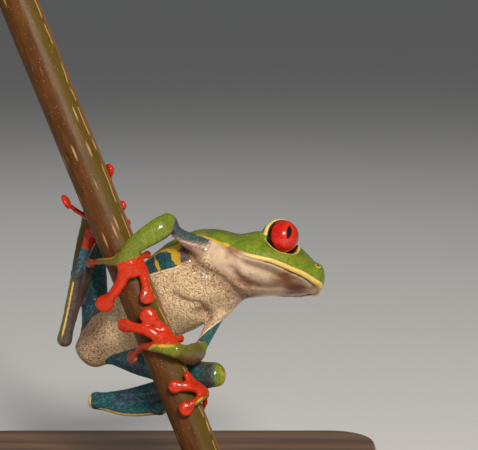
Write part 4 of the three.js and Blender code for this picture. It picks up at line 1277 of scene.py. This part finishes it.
def woodMaterial():
    material, tree, shader = newMaterial("standWood")
    vector = coordinates(tree)
    drift = node(tree, "ShaderNodeTexNoise", {"Vector": vector, "Scale": 14.0}).outputs["Color"]
    warped = node(tree, "ShaderNodeVectorMath", {
        0: vector, 1: stretched(tree, drift, (0.0, 0.012, 0.012))}, operation="ADD").outputs[0]
    rings = noise(tree, stretched(tree, warped, (6.0, 190.0, 60.0)), 1.0, 3.0)
    fibres = noise(tree, stretched(tree, vector, (90.0, 2600.0, 1200.0)), 1.0, 4.0)
    tone = scaled(tree, fibres, 0.35, times(tree, rings, 0.8))
    pores = patches(tree, stretched(tree, vector, (0.05, 1.0, 1.0)), 2600.0, 0.62, 0.72)
    base = layered(tree, wood["dark"], (edge(tree, tone, 0.4, 0.75), wood["light"]),
                   (times(tree, pores, 0.5), wood["dark"]))
    relief(tree, shader, scaled(tree, pores, -0.6, fibres), 0.00004)
    finish(tree, shader, {"Base Color": base, "Roughness": scaled(tree, fibres, 0.15, 0.3),
                          "Coat Weight": 0.4, "Coat Roughness": 0.15})
    return material


steelTones = (0.5, 0.5, 0.52), (0.68, 0.67, 0.65)
floorTones = (0.68, 0.67, 0.65), (0.72, 0.71, 0.69)


def steelMaterial():
    material, tree, shader = newMaterial("standSteel")
    brushed = noise(tree, stretched(tree, coordinates(tree), (1500.0, 1500.0, 9000.0)), 1.0, 4.0)
    relief(tree, shader, brushed, 0.000008)
    finish(tree, shader, {"Base Color": mixColour(tree, brushed, *steelTones), "Metallic": 1.0,
                          "Roughness": scaled(tree, brushed, 0.25, 0.18)})
    return material


def floorMaterial():
    material, tree, shader = newMaterial("paleFloor")
    tone = patches(tree, coordinates(tree), 2500.0, 0.3, 0.7)
    finish(tree, shader, {"Base Color": mixColour(tree, tone, *floorTones),
                          "Roughness": scaled(tree, tone, 0.08, 0.55)})
    return material


fleshNodes = ["head", "trunk", "arm_right_upper", "arm_right_fore", "arm_left_upper", "arm_left_fore",
              "hand_right", "hand_left", "leg_right_thigh", "leg_right_shank", "leg_right_tarsus",
              "leg_left_thigh", "leg_left_shank", "leg_left_tarsus", "foot_right", "foot_left"]


def place(piece, material, slot, *nodes):
    piece.data.materials.append(material)
    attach(piece, "root")
    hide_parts(*nodes)


place(makeSkin(), skinMaterial(), "skin", *fleshNodes)
eyeGloss = eyeMaterial()
place(makeEyeball(1), eyeGloss, "eyes", "eye_right")
place(makeEyeball(-1), eyeGloss, "eyes", "eye_left")
print("eyes made")
place(makeStem(), stemMaterial(), "stem", "perch_stem")
print("stem made")
place(makeBase(), woodMaterial(), "base", "stand_base")
place(makePin(), steelMaterial(), "rod", "stand_rod")
print("stand made")

floorReach = 8.0  # metres: its edge lies above the picture
floorMesh = bpy.data.meshes.new("floor")
floorCorners = [(-1, -1), (1, -1), (1, 1), (-1, 1)]
floorMesh.from_pydata([(x * floorReach, y * floorReach, 0) for x, y in floorCorners],
                      [], [(0, 1, 2, 3)])
floorPiece = bpy.data.objects.new("floor", floorMesh)
bpy.context.collection.objects.link(floorPiece)
floorMesh.materials.append(floorMaterial())


def lookAlong(way):
    return Vector(way).to_track_quat("-Z", "Y").to_euler()


studio = dict(target=(0.01, -0.01, 0.05), world=(0.95, 0.97, 1), strength=0.13)  # metres
lamps = dict(  # spot in metres, size, watts, colour; only the key shows as a highlight
    key=((0.13, -0.43, 0.31), 0.11, 2.9, (1, 0.94, 0.84)),
    fill=((-0.5, -0.3, 0.2), 0.5, 0.3, (0.95, 0.97, 1)),
    top=((-0.1, 0.25, 0.6), 0.5, 1.2, (1, 1, 1)))
for name, (spot, size, power, colour) in lamps.items():
    data = bpy.data.lights.new(name, "AREA")
    data.size, data.energy, data.color = size, power, colour
    lamp = bpy.data.objects.new(name, data)
    bpy.context.collection.objects.link(lamp)
    lamp.location = spot
    lamp.rotation_euler = lookAlong(np.subtract(studio["target"], spot))
    lamp.visible_glossy = name == "key"
world = bpy.data.worlds.new("studio")
bpy.context.scene.world = world
world.use_nodes = True
background = world.node_tree.nodes["Background"]
background.inputs["Color"].default_value = (*studio["world"], 1)
background.inputs["Strength"].default_value = studio["strength"]
bpy.context.scene.view_settings.view_transform = "Standard"

view = dict(distance=340.0, across=14.36, frameWidth=86.9, sensor=36.0)  # mm
cameraData = bpy.data.cameras.new("camera")
camera = bpy.data.objects.new("camera", cameraData)
bpy.context.collection.objects.link(camera)
cameraData.sensor_width = view["sensor"]
cameraData.lens = view["sensor"] * view["distance"] / view["frameWidth"]
cameraData.clip_start = 0.01
spot = toModel(np.array([view["across"], -view["distance"], 0.0]))
aim = toModel(np.array([view["across"], 0.0, 0.0]))
camera.location = spot
camera.rotation_euler = lookAlong(aim - spot)
bpy.context.scene.camera = camera
print("light and camera set")
